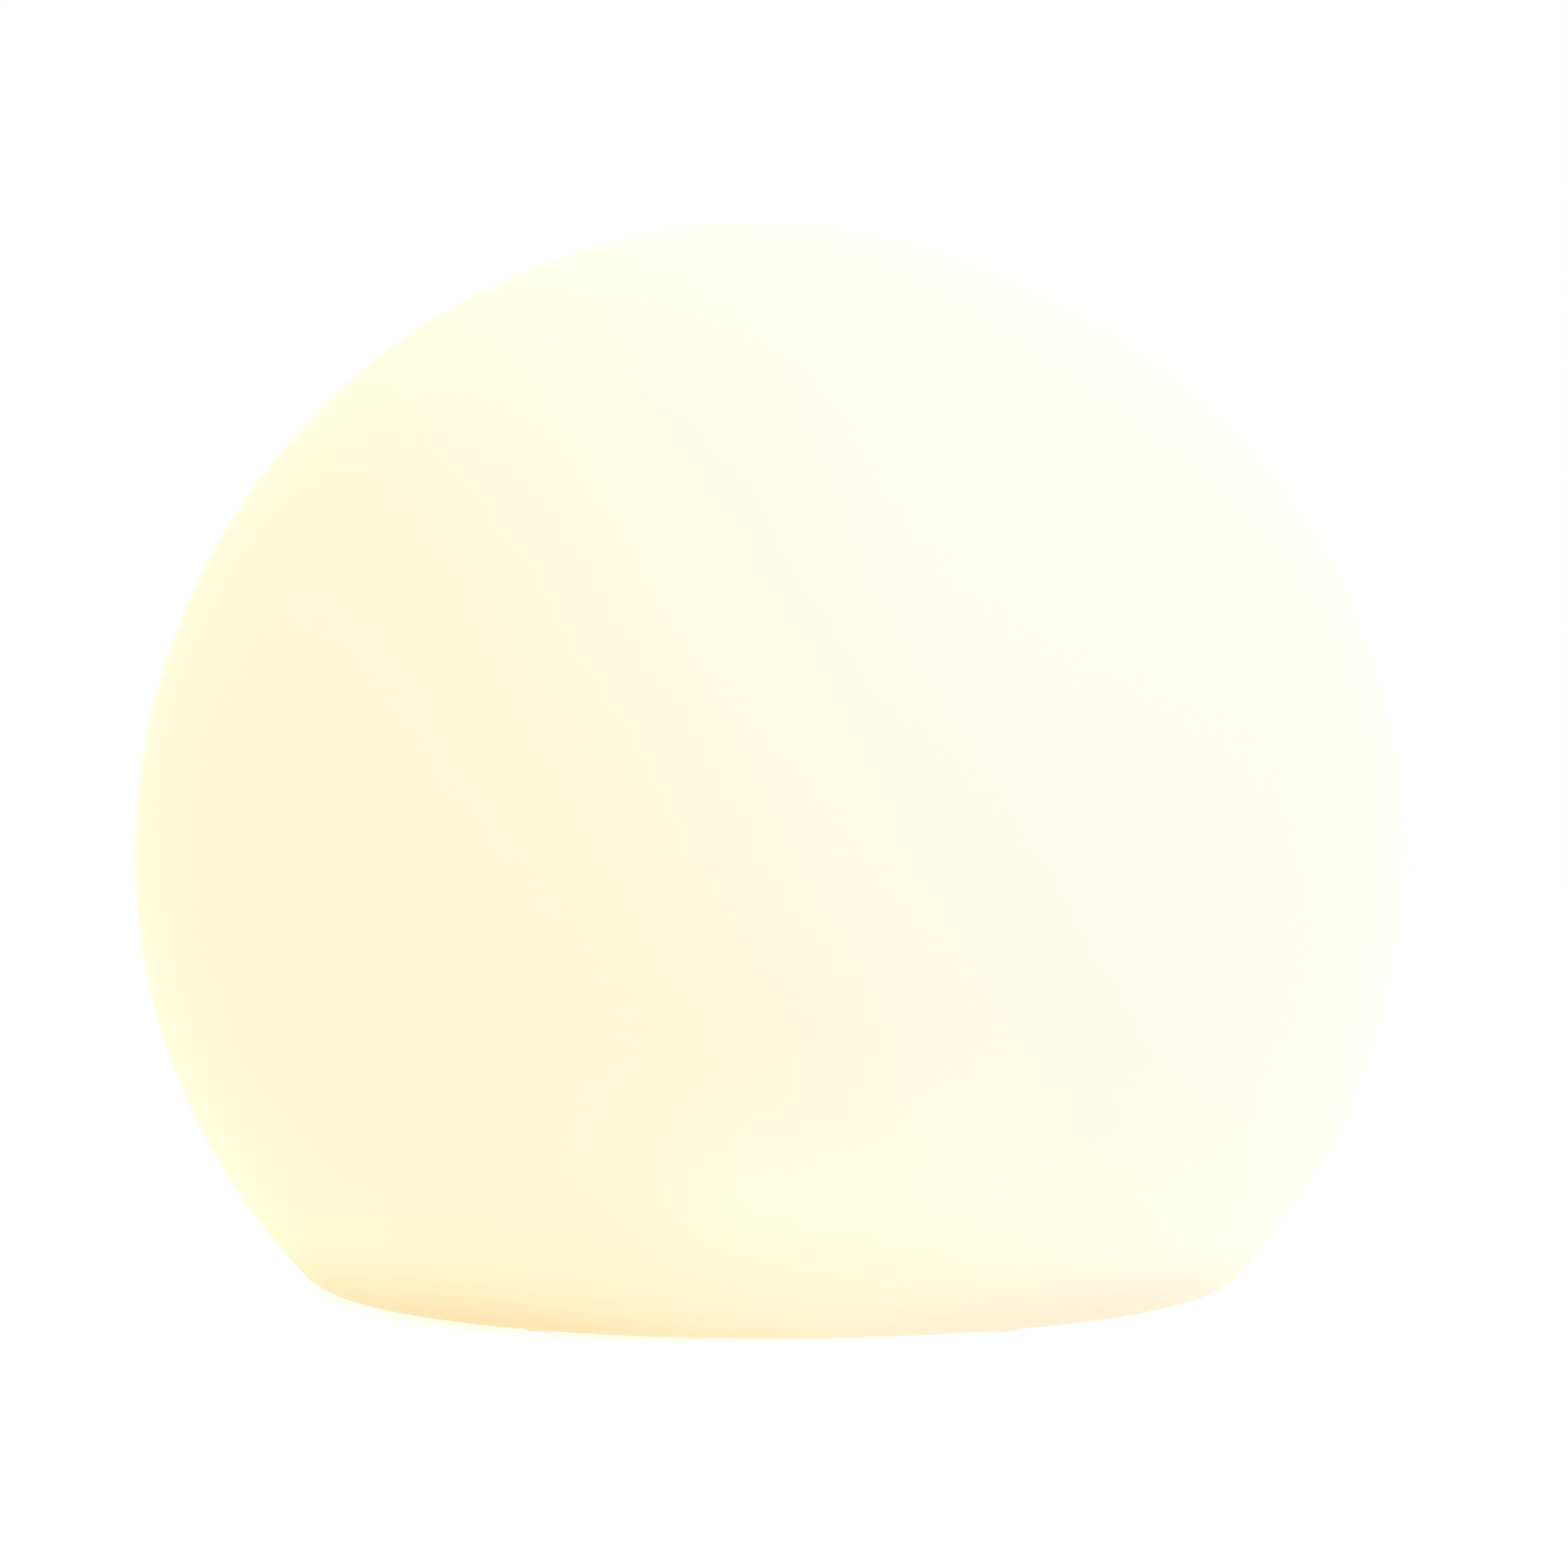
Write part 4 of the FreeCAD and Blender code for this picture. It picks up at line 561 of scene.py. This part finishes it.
finishes = {
    "shell": globePlastic(glowSettings),
    # the foot pads carry a painted glow, light from the shell painted into the rubber where they
    # sit in shade
    "foot_rubber": softRubber("footRubber", colour(0.60, 0.59, 0.56), colour(0.52, 0.51, 0.48),
                              roughness=0.7, dust=0.3, glow=colour(0.54, 0.49, 0.41)),
    "seal_rubber": softRubber("sealRubber", colour(0.03, 0.03, 0.032), colour(0.06, 0.06, 0.06)),
    "strap_rubber": softRubber("strapRubber", colour(0.035, 0.035, 0.035),
                               colour(0.08, 0.08, 0.08)),
    "button_rubber": softRubber("buttonRubber", colour(0.10, 0.105, 0.115),
                                colour(0.15, 0.155, 0.16), roughness=0.6, grain=0.4),
    "neck_plastic": mouldedPlastic("neckPlastic", colour(0.78, 0.77, 0.73),
                                   colour(0.72, 0.70, 0.65), 0.42),
    "clamp_plastic": mouldedPlastic("clampPlastic", colour(0.72, 0.70, 0.66),
                                    colour(0.66, 0.64, 0.59), 0.45),
    "housing_plastic": mouldedPlastic("housingPlastic", colour(0.74, 0.73, 0.69),
                                      colour(0.68, 0.66, 0.61), 0.46, grain=0.6, dust=0.25),
    "tray_plastic": mouldedPlastic("trayPlastic", colour(0.82, 0.81, 0.78),
                                   colour(0.76, 0.75, 0.71), 0.4),
    "reflector_plastic": mouldedPlastic("reflectorPlastic", colour(0.88, 0.88, 0.86),
                                        colour(0.84, 0.84, 0.82), 0.2, grain=0.1,
                                        coat=0.4),
    "dome_plastic": mouldedPlastic("domePlastic", colour(0.86, 0.85, 0.80),
                                   colour(0.82, 0.80, 0.74), 0.38),
    "grip_rubber": softRubber("gripRubber", colour(0.36, 0.36, 0.35), colour(0.30, 0.30, 0.29),
                              roughness=0.7, dust=0.4),
    "cover_plastic": mouldedPlastic("coverPlastic", colour(0.60, 0.59, 0.55),
                                    colour(0.53, 0.52, 0.48), 0.48, grain=0.6),
    "vent_plastic": mouldedPlastic("ventPlastic", colour(0.055, 0.055, 0.06),
                                   colour(0.09, 0.09, 0.09), 0.55, grain=0.6),
    "cradle_plastic": mouldedPlastic("cradlePlastic", colour(0.03, 0.03, 0.033),
                                     colour(0.06, 0.06, 0.06), 0.5, grain=0.6),
    "chip_plastic": mouldedPlastic("chipPlastic", colour(0.02, 0.02, 0.022),
                                   colour(0.05, 0.05, 0.05), 0.45),
    "plug_plastic": mouldedPlastic("plugPlastic", colour(0.80, 0.76, 0.64),
                                   colour(0.74, 0.69, 0.56), 0.4),
    "plunger_plastic": mouldedPlastic("plungerPlastic", colour(0.74, 0.74, 0.70),
                                      colour(0.70, 0.70, 0.64), 0.35),
    "lead_red": mouldedPlastic("redInsulation", colour(0.42, 0.02, 0.015),
                               colour(0.34, 0.02, 0.015), 0.4, grain=0.2, coat=0.3),
    "lead_white": mouldedPlastic("whiteInsulation", colour(0.76, 0.76, 0.73),
                                 colour(0.70, 0.70, 0.66), 0.4, grain=0.2, coat=0.3),
    "screw_steel": brushedMetal("screwSteel", colour(0.60, 0.60, 0.61),
                                colour(0.42, 0.42, 0.42), 0.28, streaks=1400.0),
    "spreader_metal": brushedMetal("spreaderAluminium", colour(0.74, 0.75, 0.76),
                                   colour(0.60, 0.60, 0.60), 0.35),
    "nickel": brushedMetal("nickelStrip", colour(0.66, 0.63, 0.58), colour(0.50, 0.47, 0.42),
                           0.3),
    "socket_metal": brushedMetal("socketNickel", colour(0.64, 0.64, 0.65),
                                 colour(0.46, 0.46, 0.46), 0.25, streaks=1600.0),
    "spring_steel": brushedMetal("springSteel", colour(0.60, 0.60, 0.60),
                                 colour(0.44, 0.43, 0.42), 0.25, streaks=1800.0),
    "pin_steel": brushedMetal("pinSteel", colour(0.62, 0.62, 0.62), colour(0.46, 0.46, 0.46),
                              0.22, streaks=1800.0),
    "clip_steel": brushedMetal("clipSteel", colour(0.58, 0.58, 0.59), colour(0.44, 0.44, 0.44),
                               0.32, streaks=1100.0),
    "bail_steel": brushedMetal("loopSteel", colour(0.76, 0.76, 0.77), colour(0.64, 0.64, 0.64),
                               0.16, streaks=2600.0, grain=0.02),
    "white_board": circuitBoard("whiteBoard", colour(0.84, 0.84, 0.82),
                                colour(0.74, 0.73, 0.69), 0.0016),
    "green_board": circuitBoard("greenBoard", colour(0.01, 0.12, 0.045),
                                colour(0.03, 0.23, 0.08), 0.0011),
    "led_chip": litChips("litChips"),
    "cell_wrap": shrinkWrap("cellWrap", colour(0.015, 0.10, 0.26), colour(0.05, 0.18, 0.36)),
    "clear_plastic": clearRod("clearRod"),
}

slotOfNode = {part["node"]: part["material_slot"] for part in frame["record"]["subparts"]}
for node, slotName in slotOfNode.items():
    for socket in frame["nodes"][node].material_slots:
        socket.material = finishes[slotName]
print("finishes set on", len(slotOfNode), "nodes")


def addPiece(name, mesh, body, slotName, smooth=True):
    piece = bpy.data.objects.new(name, mesh)
    bpy.context.scene.collection.objects.link(piece)
    mesh.materials.append(finishes[slotName])
    if smooth:
        mesh.polygons.foreach_set("use_smooth", [True] * len(mesh.polygons))
    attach(piece, body)
    return piece


def meshFrom(name, builder):
    mesh = bpy.data.meshes.new(name)
    bmesh.ops.remove_doubles(builder, verts=builder.verts, dist=1e-7)
    bmesh.ops.dissolve_degenerate(builder, edges=builder.edges, dist=1e-8)
    bmesh.ops.recalc_face_normals(builder, faces=builder.faces)
    builder.to_mesh(mesh)
    builder.free()
    return mesh


def onCircle(radius, angle, height, middle=(0.0, 0.0)):
    turn = math.radians(angle)
    return (middle[0] + radius * math.cos(turn), middle[1] + radius * math.sin(turn), height)


# a closed outline of (radius, height) points swept round an upright axis
def addLathe(builder, outline, segments, middle=(0.0, 0.0)):
    rings = []
    for index in range(segments):
        angle = 360.0 * index / segments
        rings.append([builder.verts.new(onCircle(radius, angle, height, middle))
                      for radius, height in outline])
    count = len(outline)
    for index, ring in enumerate(rings):
        after = rings[(index + 1) % segments]
        for low in range(count):
            high = (low + 1) % count
            builder.faces.new((ring[low], ring[high], after[high], after[low]))


# a flat bar bent round an upright axis, between two angles
def addArcBar(builder, inner, outer, low, high, fromAngle, toAngle, steps, middle=(0.0, 0.0)):
    rings = []
    for index in range(steps + 1):
        angle = fromAngle + (toAngle - fromAngle) * index / steps
        rings.append([builder.verts.new(onCircle(radius, angle, height, middle))
                      for radius, height in ((inner, low), (outer, low), (outer, high),
                                             (inner, high))])
    for ring, after in zip(rings, rings[1:]):
        for corner in range(4):
            following = (corner + 1) % 4
            builder.faces.new((ring[corner], ring[following], after[following],
                               after[corner]))
    builder.faces.new(rings[0])
    builder.faces.new(rings[-1][::-1])


def addPrism(builder, corners, low, high):
    bottom = [builder.verts.new((x, y, low)) for x, y in corners]
    top = [builder.verts.new((x, y, high)) for x, y in corners]
    builder.faces.new(bottom[::-1])
    builder.faces.new(top)
    for index in range(len(corners)):
        after = (index + 1) % len(corners)
        builder.faces.new((bottom[index], bottom[after], top[after], top[index]))


# the face of the base module, seen from below
plateFace = housingLow.z
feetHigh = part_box("feet")[1]
buttonLow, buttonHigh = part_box("power_button")
buttonMiddle = (buttonLow + buttonHigh) / 2
coverLow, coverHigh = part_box("port_cover")
gripLow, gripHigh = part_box("twist_grips")
ventLow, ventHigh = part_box("vent_plug")
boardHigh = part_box("control_board")[1]


footPad = {
    "count": 6,
    "padRadius": 0.005,
    "segments": 48,
    # radius and height over the floor: rounded edge and two ring grooves in the sole
    "outline": [(0.0, 0.0022), (0.005, 0.0022), (0.005, 0.0007), (0.0049, 0.00035),
                (0.0046, 0.0001), (0.0042, 0.0), (0.0036, 0.0), (0.0034, 0.0004),
                (0.0029, 0.0004), (0.0027, 0.0), (0.0021, 0.0), (0.0019, 0.0004),
                (0.0014, 0.0004), (0.0012, 0.0), (0.0, 0.0)],
}


def addFootPads(settings):
    circle = feetHigh.x - settings["padRadius"]
    builder = bmesh.new()
    for index in range(settings["count"]):
        middle = onCircle(circle, index * 360.0 / settings["count"], 0.0)
        addLathe(builder, settings["outline"], settings["segments"], middle[:2])
    pads = addPiece("ringedFootPads", meshFrom("ringedFootPads", builder), "globe",
                    "foot_rubber", smooth=False)
    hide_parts("feet")


addFootPads(footPad)


gripRib = {
    "count": 9,
    "spread": 16.0,          # degrees to each side of the grip's middle
    "halfWidth": 0.55,       # degrees
    "proud": 0.0005,
    "depth": 0.0006,         # root inside the grip
    "thickness": 0.0055,     # of the grip
    "low": 0.0012,           # over the grip's lower edge
    "high": 0.0003,          # short of the plate
}


def addGripRibs(settings):
    outer = gripHigh.x
    inner = outer - settings["thickness"]
    builder = bmesh.new()
    for turned in (0.0, 180.0):
        for index in range(settings["count"]):
            share = 2.0 * index / (settings["count"] - 1) - 1.0
            angle = turned + share * settings["spread"]
            for near, far in ((inner - settings["proud"], inner + settings["depth"]),
                              (outer - settings["depth"], outer + settings["proud"])):
                addArcBar(builder, near, far, gripLow.z + settings["low"],
                          plateFace - settings["high"], angle - settings["halfWidth"],
                          angle + settings["halfWidth"], 1)
    addPiece("gripRibs", meshFrom("gripRibs", builder), "base_module", "grip_rubber",
             smooth=False)


addGripRibs(gripRib)


twistArrow = {
    "radius": 0.0515,
    "halfWidth": 0.0006,
    "from": 24.0,            # degrees each side of the arrow's middle
    "to": -16.0,
    "headLength": 7.0,       # degrees
    "headHalfWidth": 0.0018,
    "proud": 0.0003,
    "middles": (90.0, 270.0),
    "steps": 24,
}


# raised arrows that show which way the module turns to come free
def addTwistArrows(settings):
    builder = bmesh.new()
    low = plateFace - settings["proud"]
    high = plateFace + settings["proud"]
    radius = settings["radius"]
    for middle in settings["middles"]:
        start = middle + settings["from"]
        neck = middle + settings["to"]
        addArcBar(builder, radius - settings["halfWidth"], radius + settings["halfWidth"],
                  low, high, neck, start, settings["steps"])
        corners = [onCircle(radius - settings["headHalfWidth"], neck, 0.0)[:2],
                   onCircle(radius, neck - settings["headLength"], 0.0)[:2],
                   onCircle(radius + settings["headHalfWidth"], neck, 0.0)[:2]]
        addPrism(builder, corners, low, high)
    addPiece("twistArrows", meshFrom("twistArrows", builder), "base_module",
             "grip_rubber", smooth=False)


addTwistArrows(twistArrow)


lockMark = {
    "angles": (90.0, 270.0),
    "openTurn": -40.0,       # where the module's mark stands when it is free
    "plateInner": 0.0645,
    "plateOuter": 0.0675,
    "plateHalfWidth": 0.0016,
    "ringInner": 0.0726,
    "ringOuter": 0.0762,
    "ringHalfWidth": 0.45,   # degrees
    "openInner": 0.0009,
    "openOuter": 0.0015,
    "openSegments": 24,
    "proud": 0.00025,
}


# a pointer on the module, a bar on the shell where it is locked and a ring where it is free
def addLockMarks(settings):
    proud = settings["proud"]
    pointers = bmesh.new()
    marks = bmesh.new()
    shellFace = shellLow.z
    for angle in settings["angles"]:
        turn = math.radians(angle)
        side = Vector((-math.sin(turn), math.cos(turn))) * settings["plateHalfWidth"]
        root = Vector(onCircle(settings["plateInner"], angle, 0.0)[:2])
        tip = onCircle(settings["plateOuter"], angle, 0.0)[:2]
        addPrism(pointers, [tuple(root - side), tip, tuple(root + side)],
                 plateFace - proud, plateFace + proud)
        addArcBar(marks, settings["ringInner"], settings["ringOuter"], shellFace - proud,
                  shellFace + proud, angle - settings["ringHalfWidth"],
                  angle + settings["ringHalfWidth"], 1)
        middle = onCircle((settings["ringInner"] + settings["ringOuter"]) / 2,
                          angle + settings["openTurn"], 0.0)
        addLathe(marks, [(settings["openInner"], shellFace - proud),
                         (settings["openOuter"], shellFace - proud),
                         (settings["openOuter"], shellFace + proud),
                         (settings["openInner"], shellFace + proud)],
                 settings["openSegments"], middle[:2])
    addPiece("modulePointers", meshFrom("modulePointers", pointers), "base_module",
             "grip_rubber", smooth=False)
    addPiece("shellLockMarks", meshFrom("shellLockMarks", marks), "globe", "grip_rubber",
             smooth=False)


addLockMarks(lockMark)


powerMark = {
    "inner": 0.0022,
    "outer": 0.0028,
    "gap": 38.0,             # degrees open at each side of the bar
    "steps": 40,
    "barHalfWidth": 0.0003,
    "barFrom": 0.0008,
    "barTo": 0.0034,
    "proud": 0.0002,         # below the face's rim
    "root": 0.0006,          # into the dished face
}


# the usual on and off mark: an open ring and a bar
def addPowerMark(settings):
    x, y = buttonMiddle.x, buttonMiddle.y
    low = buttonLow.z + settings["proud"]
    high = buttonLow.z + settings["root"]
    builder = bmesh.new()
    addArcBar(builder, settings["inner"], settings["outer"], low, high,
              90.0 + settings["gap"], 450.0 - settings["gap"], settings["steps"], (x, y))
    half = settings["barHalfWidth"]
    addPrism(builder, [(x - half, y + settings["barFrom"]), (x + half, y + settings["barFrom"]),
                       (x + half, y + settings["barTo"]), (x - half, y + settings["barTo"])],
             low, high)
    addPiece("powerMark", meshFrom("powerMark", builder), "power_button", "plunger_plastic",
             smooth=False)


addPowerMark(powerMark)


boltMark = {
    # corners about the mark's middle: a plain lightning bolt
    "corners": [(0.0009, 0.0032), (-0.0017, -0.0004), (-0.0002, -0.0004), (-0.0009, -0.0032),
                (0.0017, 0.0004), (0.0002, 0.0004)],
    "shift": 0.0008,         # from the cover's middle towards its hinge
    "proud": 0.0002,
    "root": 0.0004,
}


def addBoltMark(settings):
    x = (coverLow.x + coverHigh.x) / 2
    y = (coverLow.y + coverHigh.y) / 2 + settings["shift"]
    builder = bmesh.new()
    addPrism(builder, [(x + dx, y + dy) for dx, dy in settings["corners"]],
             coverLow.z - settings["proud"], coverLow.z + settings["root"])
    addPiece("chargeMark", meshFrom("chargeMark", builder), "port_cover", "button_rubber",
             smooth=False)


addBoltMark(boltMark)


coilSpring = {
    "coilRadius": 0.0039,
    "wireRadius": 0.0003,
    "turns": 5,
    "steps": 44,             # of each turn
    "sides": 14,
    "travel": 0.001,         # by which the button shortens it
}


# the button's return spring: its upper end stays under the retainer
def addCoilSpring(settings):
    low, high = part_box("button_spring")
    middle = ((low.x + high.x) / 2, (low.y + high.y) / 2)
    wire = settings["wireRadius"]
    rise = high.z - low.z - 2 * wire
    count = settings["turns"] * settings["steps"]
    sides = settings["sides"]
    builder = bmesh.new()
    rings = []
    for index in range(count + 1):
        angle = 360.0 * index / settings["steps"]
        height = low.z + wire + rise * index / count
        rings.append([builder.verts.new(onCircle(
            settings["coilRadius"] + wire * math.cos(2 * math.pi * side / sides), angle,
            height + wire * math.sin(2 * math.pi * side / sides), middle))
            for side in range(sides)])
    for ring, after in zip(rings, rings[1:]):
        for side in range(sides):
            following = (side + 1) % sides
            builder.faces.new((ring[side], ring[following], after[following], after[side]))
    builder.faces.new(rings[0])
    builder.faces.new(rings[-1][::-1])
    spring = addPiece("coilSpring", meshFrom("coilSpring", builder), "base_module",
                      "spring_steel")
    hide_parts("button_spring")
    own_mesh(spring)


addCoilSpring(coilSpring)


ventFace = {
    "ribs": 8,
    "inner": 0.0019,
    "outer": 0.0041,
    "halfAngle": 5.0,        # degrees
    "proud": 0.0002,
    "membraneRadius": 0.00101,
    "membraneLow": 0.0006,   # over the head's face
    "membraneHigh": 0.0009,
    "membraneSegments": 24,
    "ribSteps": 3,
}


# ribs on the vent's head, and the pale membrane that closes its bore
def addVentFace(settings):
    middle = ((ventLow.x + ventHigh.x) / 2, (ventLow.y + ventHigh.y) / 2)
    face = ventLow.z
    ribs = bmesh.new()
    for index in range(settings["ribs"]):
        angle = 360.0 * index / settings["ribs"]
        addArcBar(ribs, settings["inner"], settings["outer"], face - settings["proud"],
                  face + settings["proud"], angle - settings["halfAngle"],
                  angle + settings["halfAngle"], settings["ribSteps"], middle)
    addPiece("ventRibs", meshFrom("ventRibs", ribs), "base_module", "vent_plastic",
             smooth=False)
    sheet = bmesh.new()
    radius = settings["membraneRadius"]
    low, high = face + settings["membraneLow"], face + settings["membraneHigh"]
    addLathe(sheet, [(0.0, low), (radius, low), (radius, high), (0.0, high)],
             settings["membraneSegments"], middle)
    addPiece("ventMembrane", meshFrom("ventMembrane", sheet), "base_module",
             "reflector_plastic", smooth=False)


addVentFace(ventFace)


chipPins = {
    # middle and half sizes of each part on the control board, and the pins along each pair
    # of its sides
    "chips": [(-0.004, 0.020, 0.0035, 0.0035, 9, 9), (0.006, 0.013, 0.0025, 0.002, 0, 4)],
    "ends": [(0.008, 0.020, 0.0016, 0.0008), (0.008, 0.023, 0.0016, 0.0008),
             (-0.005, 0.028, 0.0016, 0.0008)],
    "pinSpread": 0.9,        # how much of its side a row of pins takes up
    "pinHalfWidth": 0.00014,
    "pinReach": 0.0007,
    "pinRoot": -0.3,         # shares of that reach: the start inside the chip,
    "pinKnee": 0.45,         # the bend where the pin drops
    "pinHeel": 0.3,          # and the back of its foot
    "pinHigh": 0.00045,
    "pinLow": 0.00012,
    "pinThickness": 0.00015,
    "endLength": 0.0005,
    "endHigh": 0.00086,
    "endMargin": 0.00006,
}


def addBlock(builder, low, high):
    addPrism(builder, [(low[0], low[1]), (high[0], low[1]), (high[0], high[1]),
                       (low[0], high[1])], low[2], high[2])


# gull-wing pins of the two chips and the tinned ends of the small parts
def addChipPins(settings):
    floor = boardHigh.z
    half = settings["pinHalfWidth"]
    reach = settings["pinReach"]
    spread = settings["pinSpread"]
    builder = bmesh.new()

    # one pin leaves the chip's side, drops and runs along the board
    def addPin(x, y, outX, outY):
        top, foot = settings["pinHigh"], settings["pinLow"]
        root, knee, heel = settings["pinRoot"], settings["pinKnee"], settings["pinHeel"]
        shoulder = top - settings["pinThickness"]
        profile = ((root, shoulder), (root, top), (knee, top), (knee, foot), (1.0, foot),
                   (1.0, 0.0), (heel, 0.0), (heel, shoulder))
        near, far = [[builder.verts.new((x + outX * reach * out - outY * shift,
                                         y + outY * reach * out + outX * shift,
                                         floor + height)) for out, height in profile]
                     for shift in (-half, half)]
        builder.faces.new(near)
        builder.faces.new(far[::-1])
        for index in range(len(profile)):
            after = (index + 1) % len(profile)
            builder.faces.new((near[index], near[after], far[after], far[index]))

    for x, y, halfX, halfY, alongX, alongY in settings["chips"]:
        for side in (-1, 1):
            for index in range(alongX):
                share = 2.0 * (index + 0.5) / alongX - 1.0
                addPin(x + share * halfX * spread, y + side * halfY, 0, side)
            for index in range(alongY):
                share = 2.0 * (index + 0.5) / alongY - 1.0
                addPin(x + side * halfX, y + share * halfY * spread, side, 0)
    margin = settings["endMargin"]
    for x, y, halfX, halfY in settings["ends"]:
        for side in (-1, 1):
            xs = sorted((x + side * (halfX - settings["endLength"]), x + side * (halfX + margin)))
            addBlock(builder, (xs[0], y - halfY - margin, floor),
                     (xs[1], y + halfY + margin, floor + settings["endHigh"]))
    addPiece("tinnedPins", meshFrom("tinnedPins", builder), "base_module", "nickel",
             smooth=False)


addChipPins(chipPins)
print("details added")
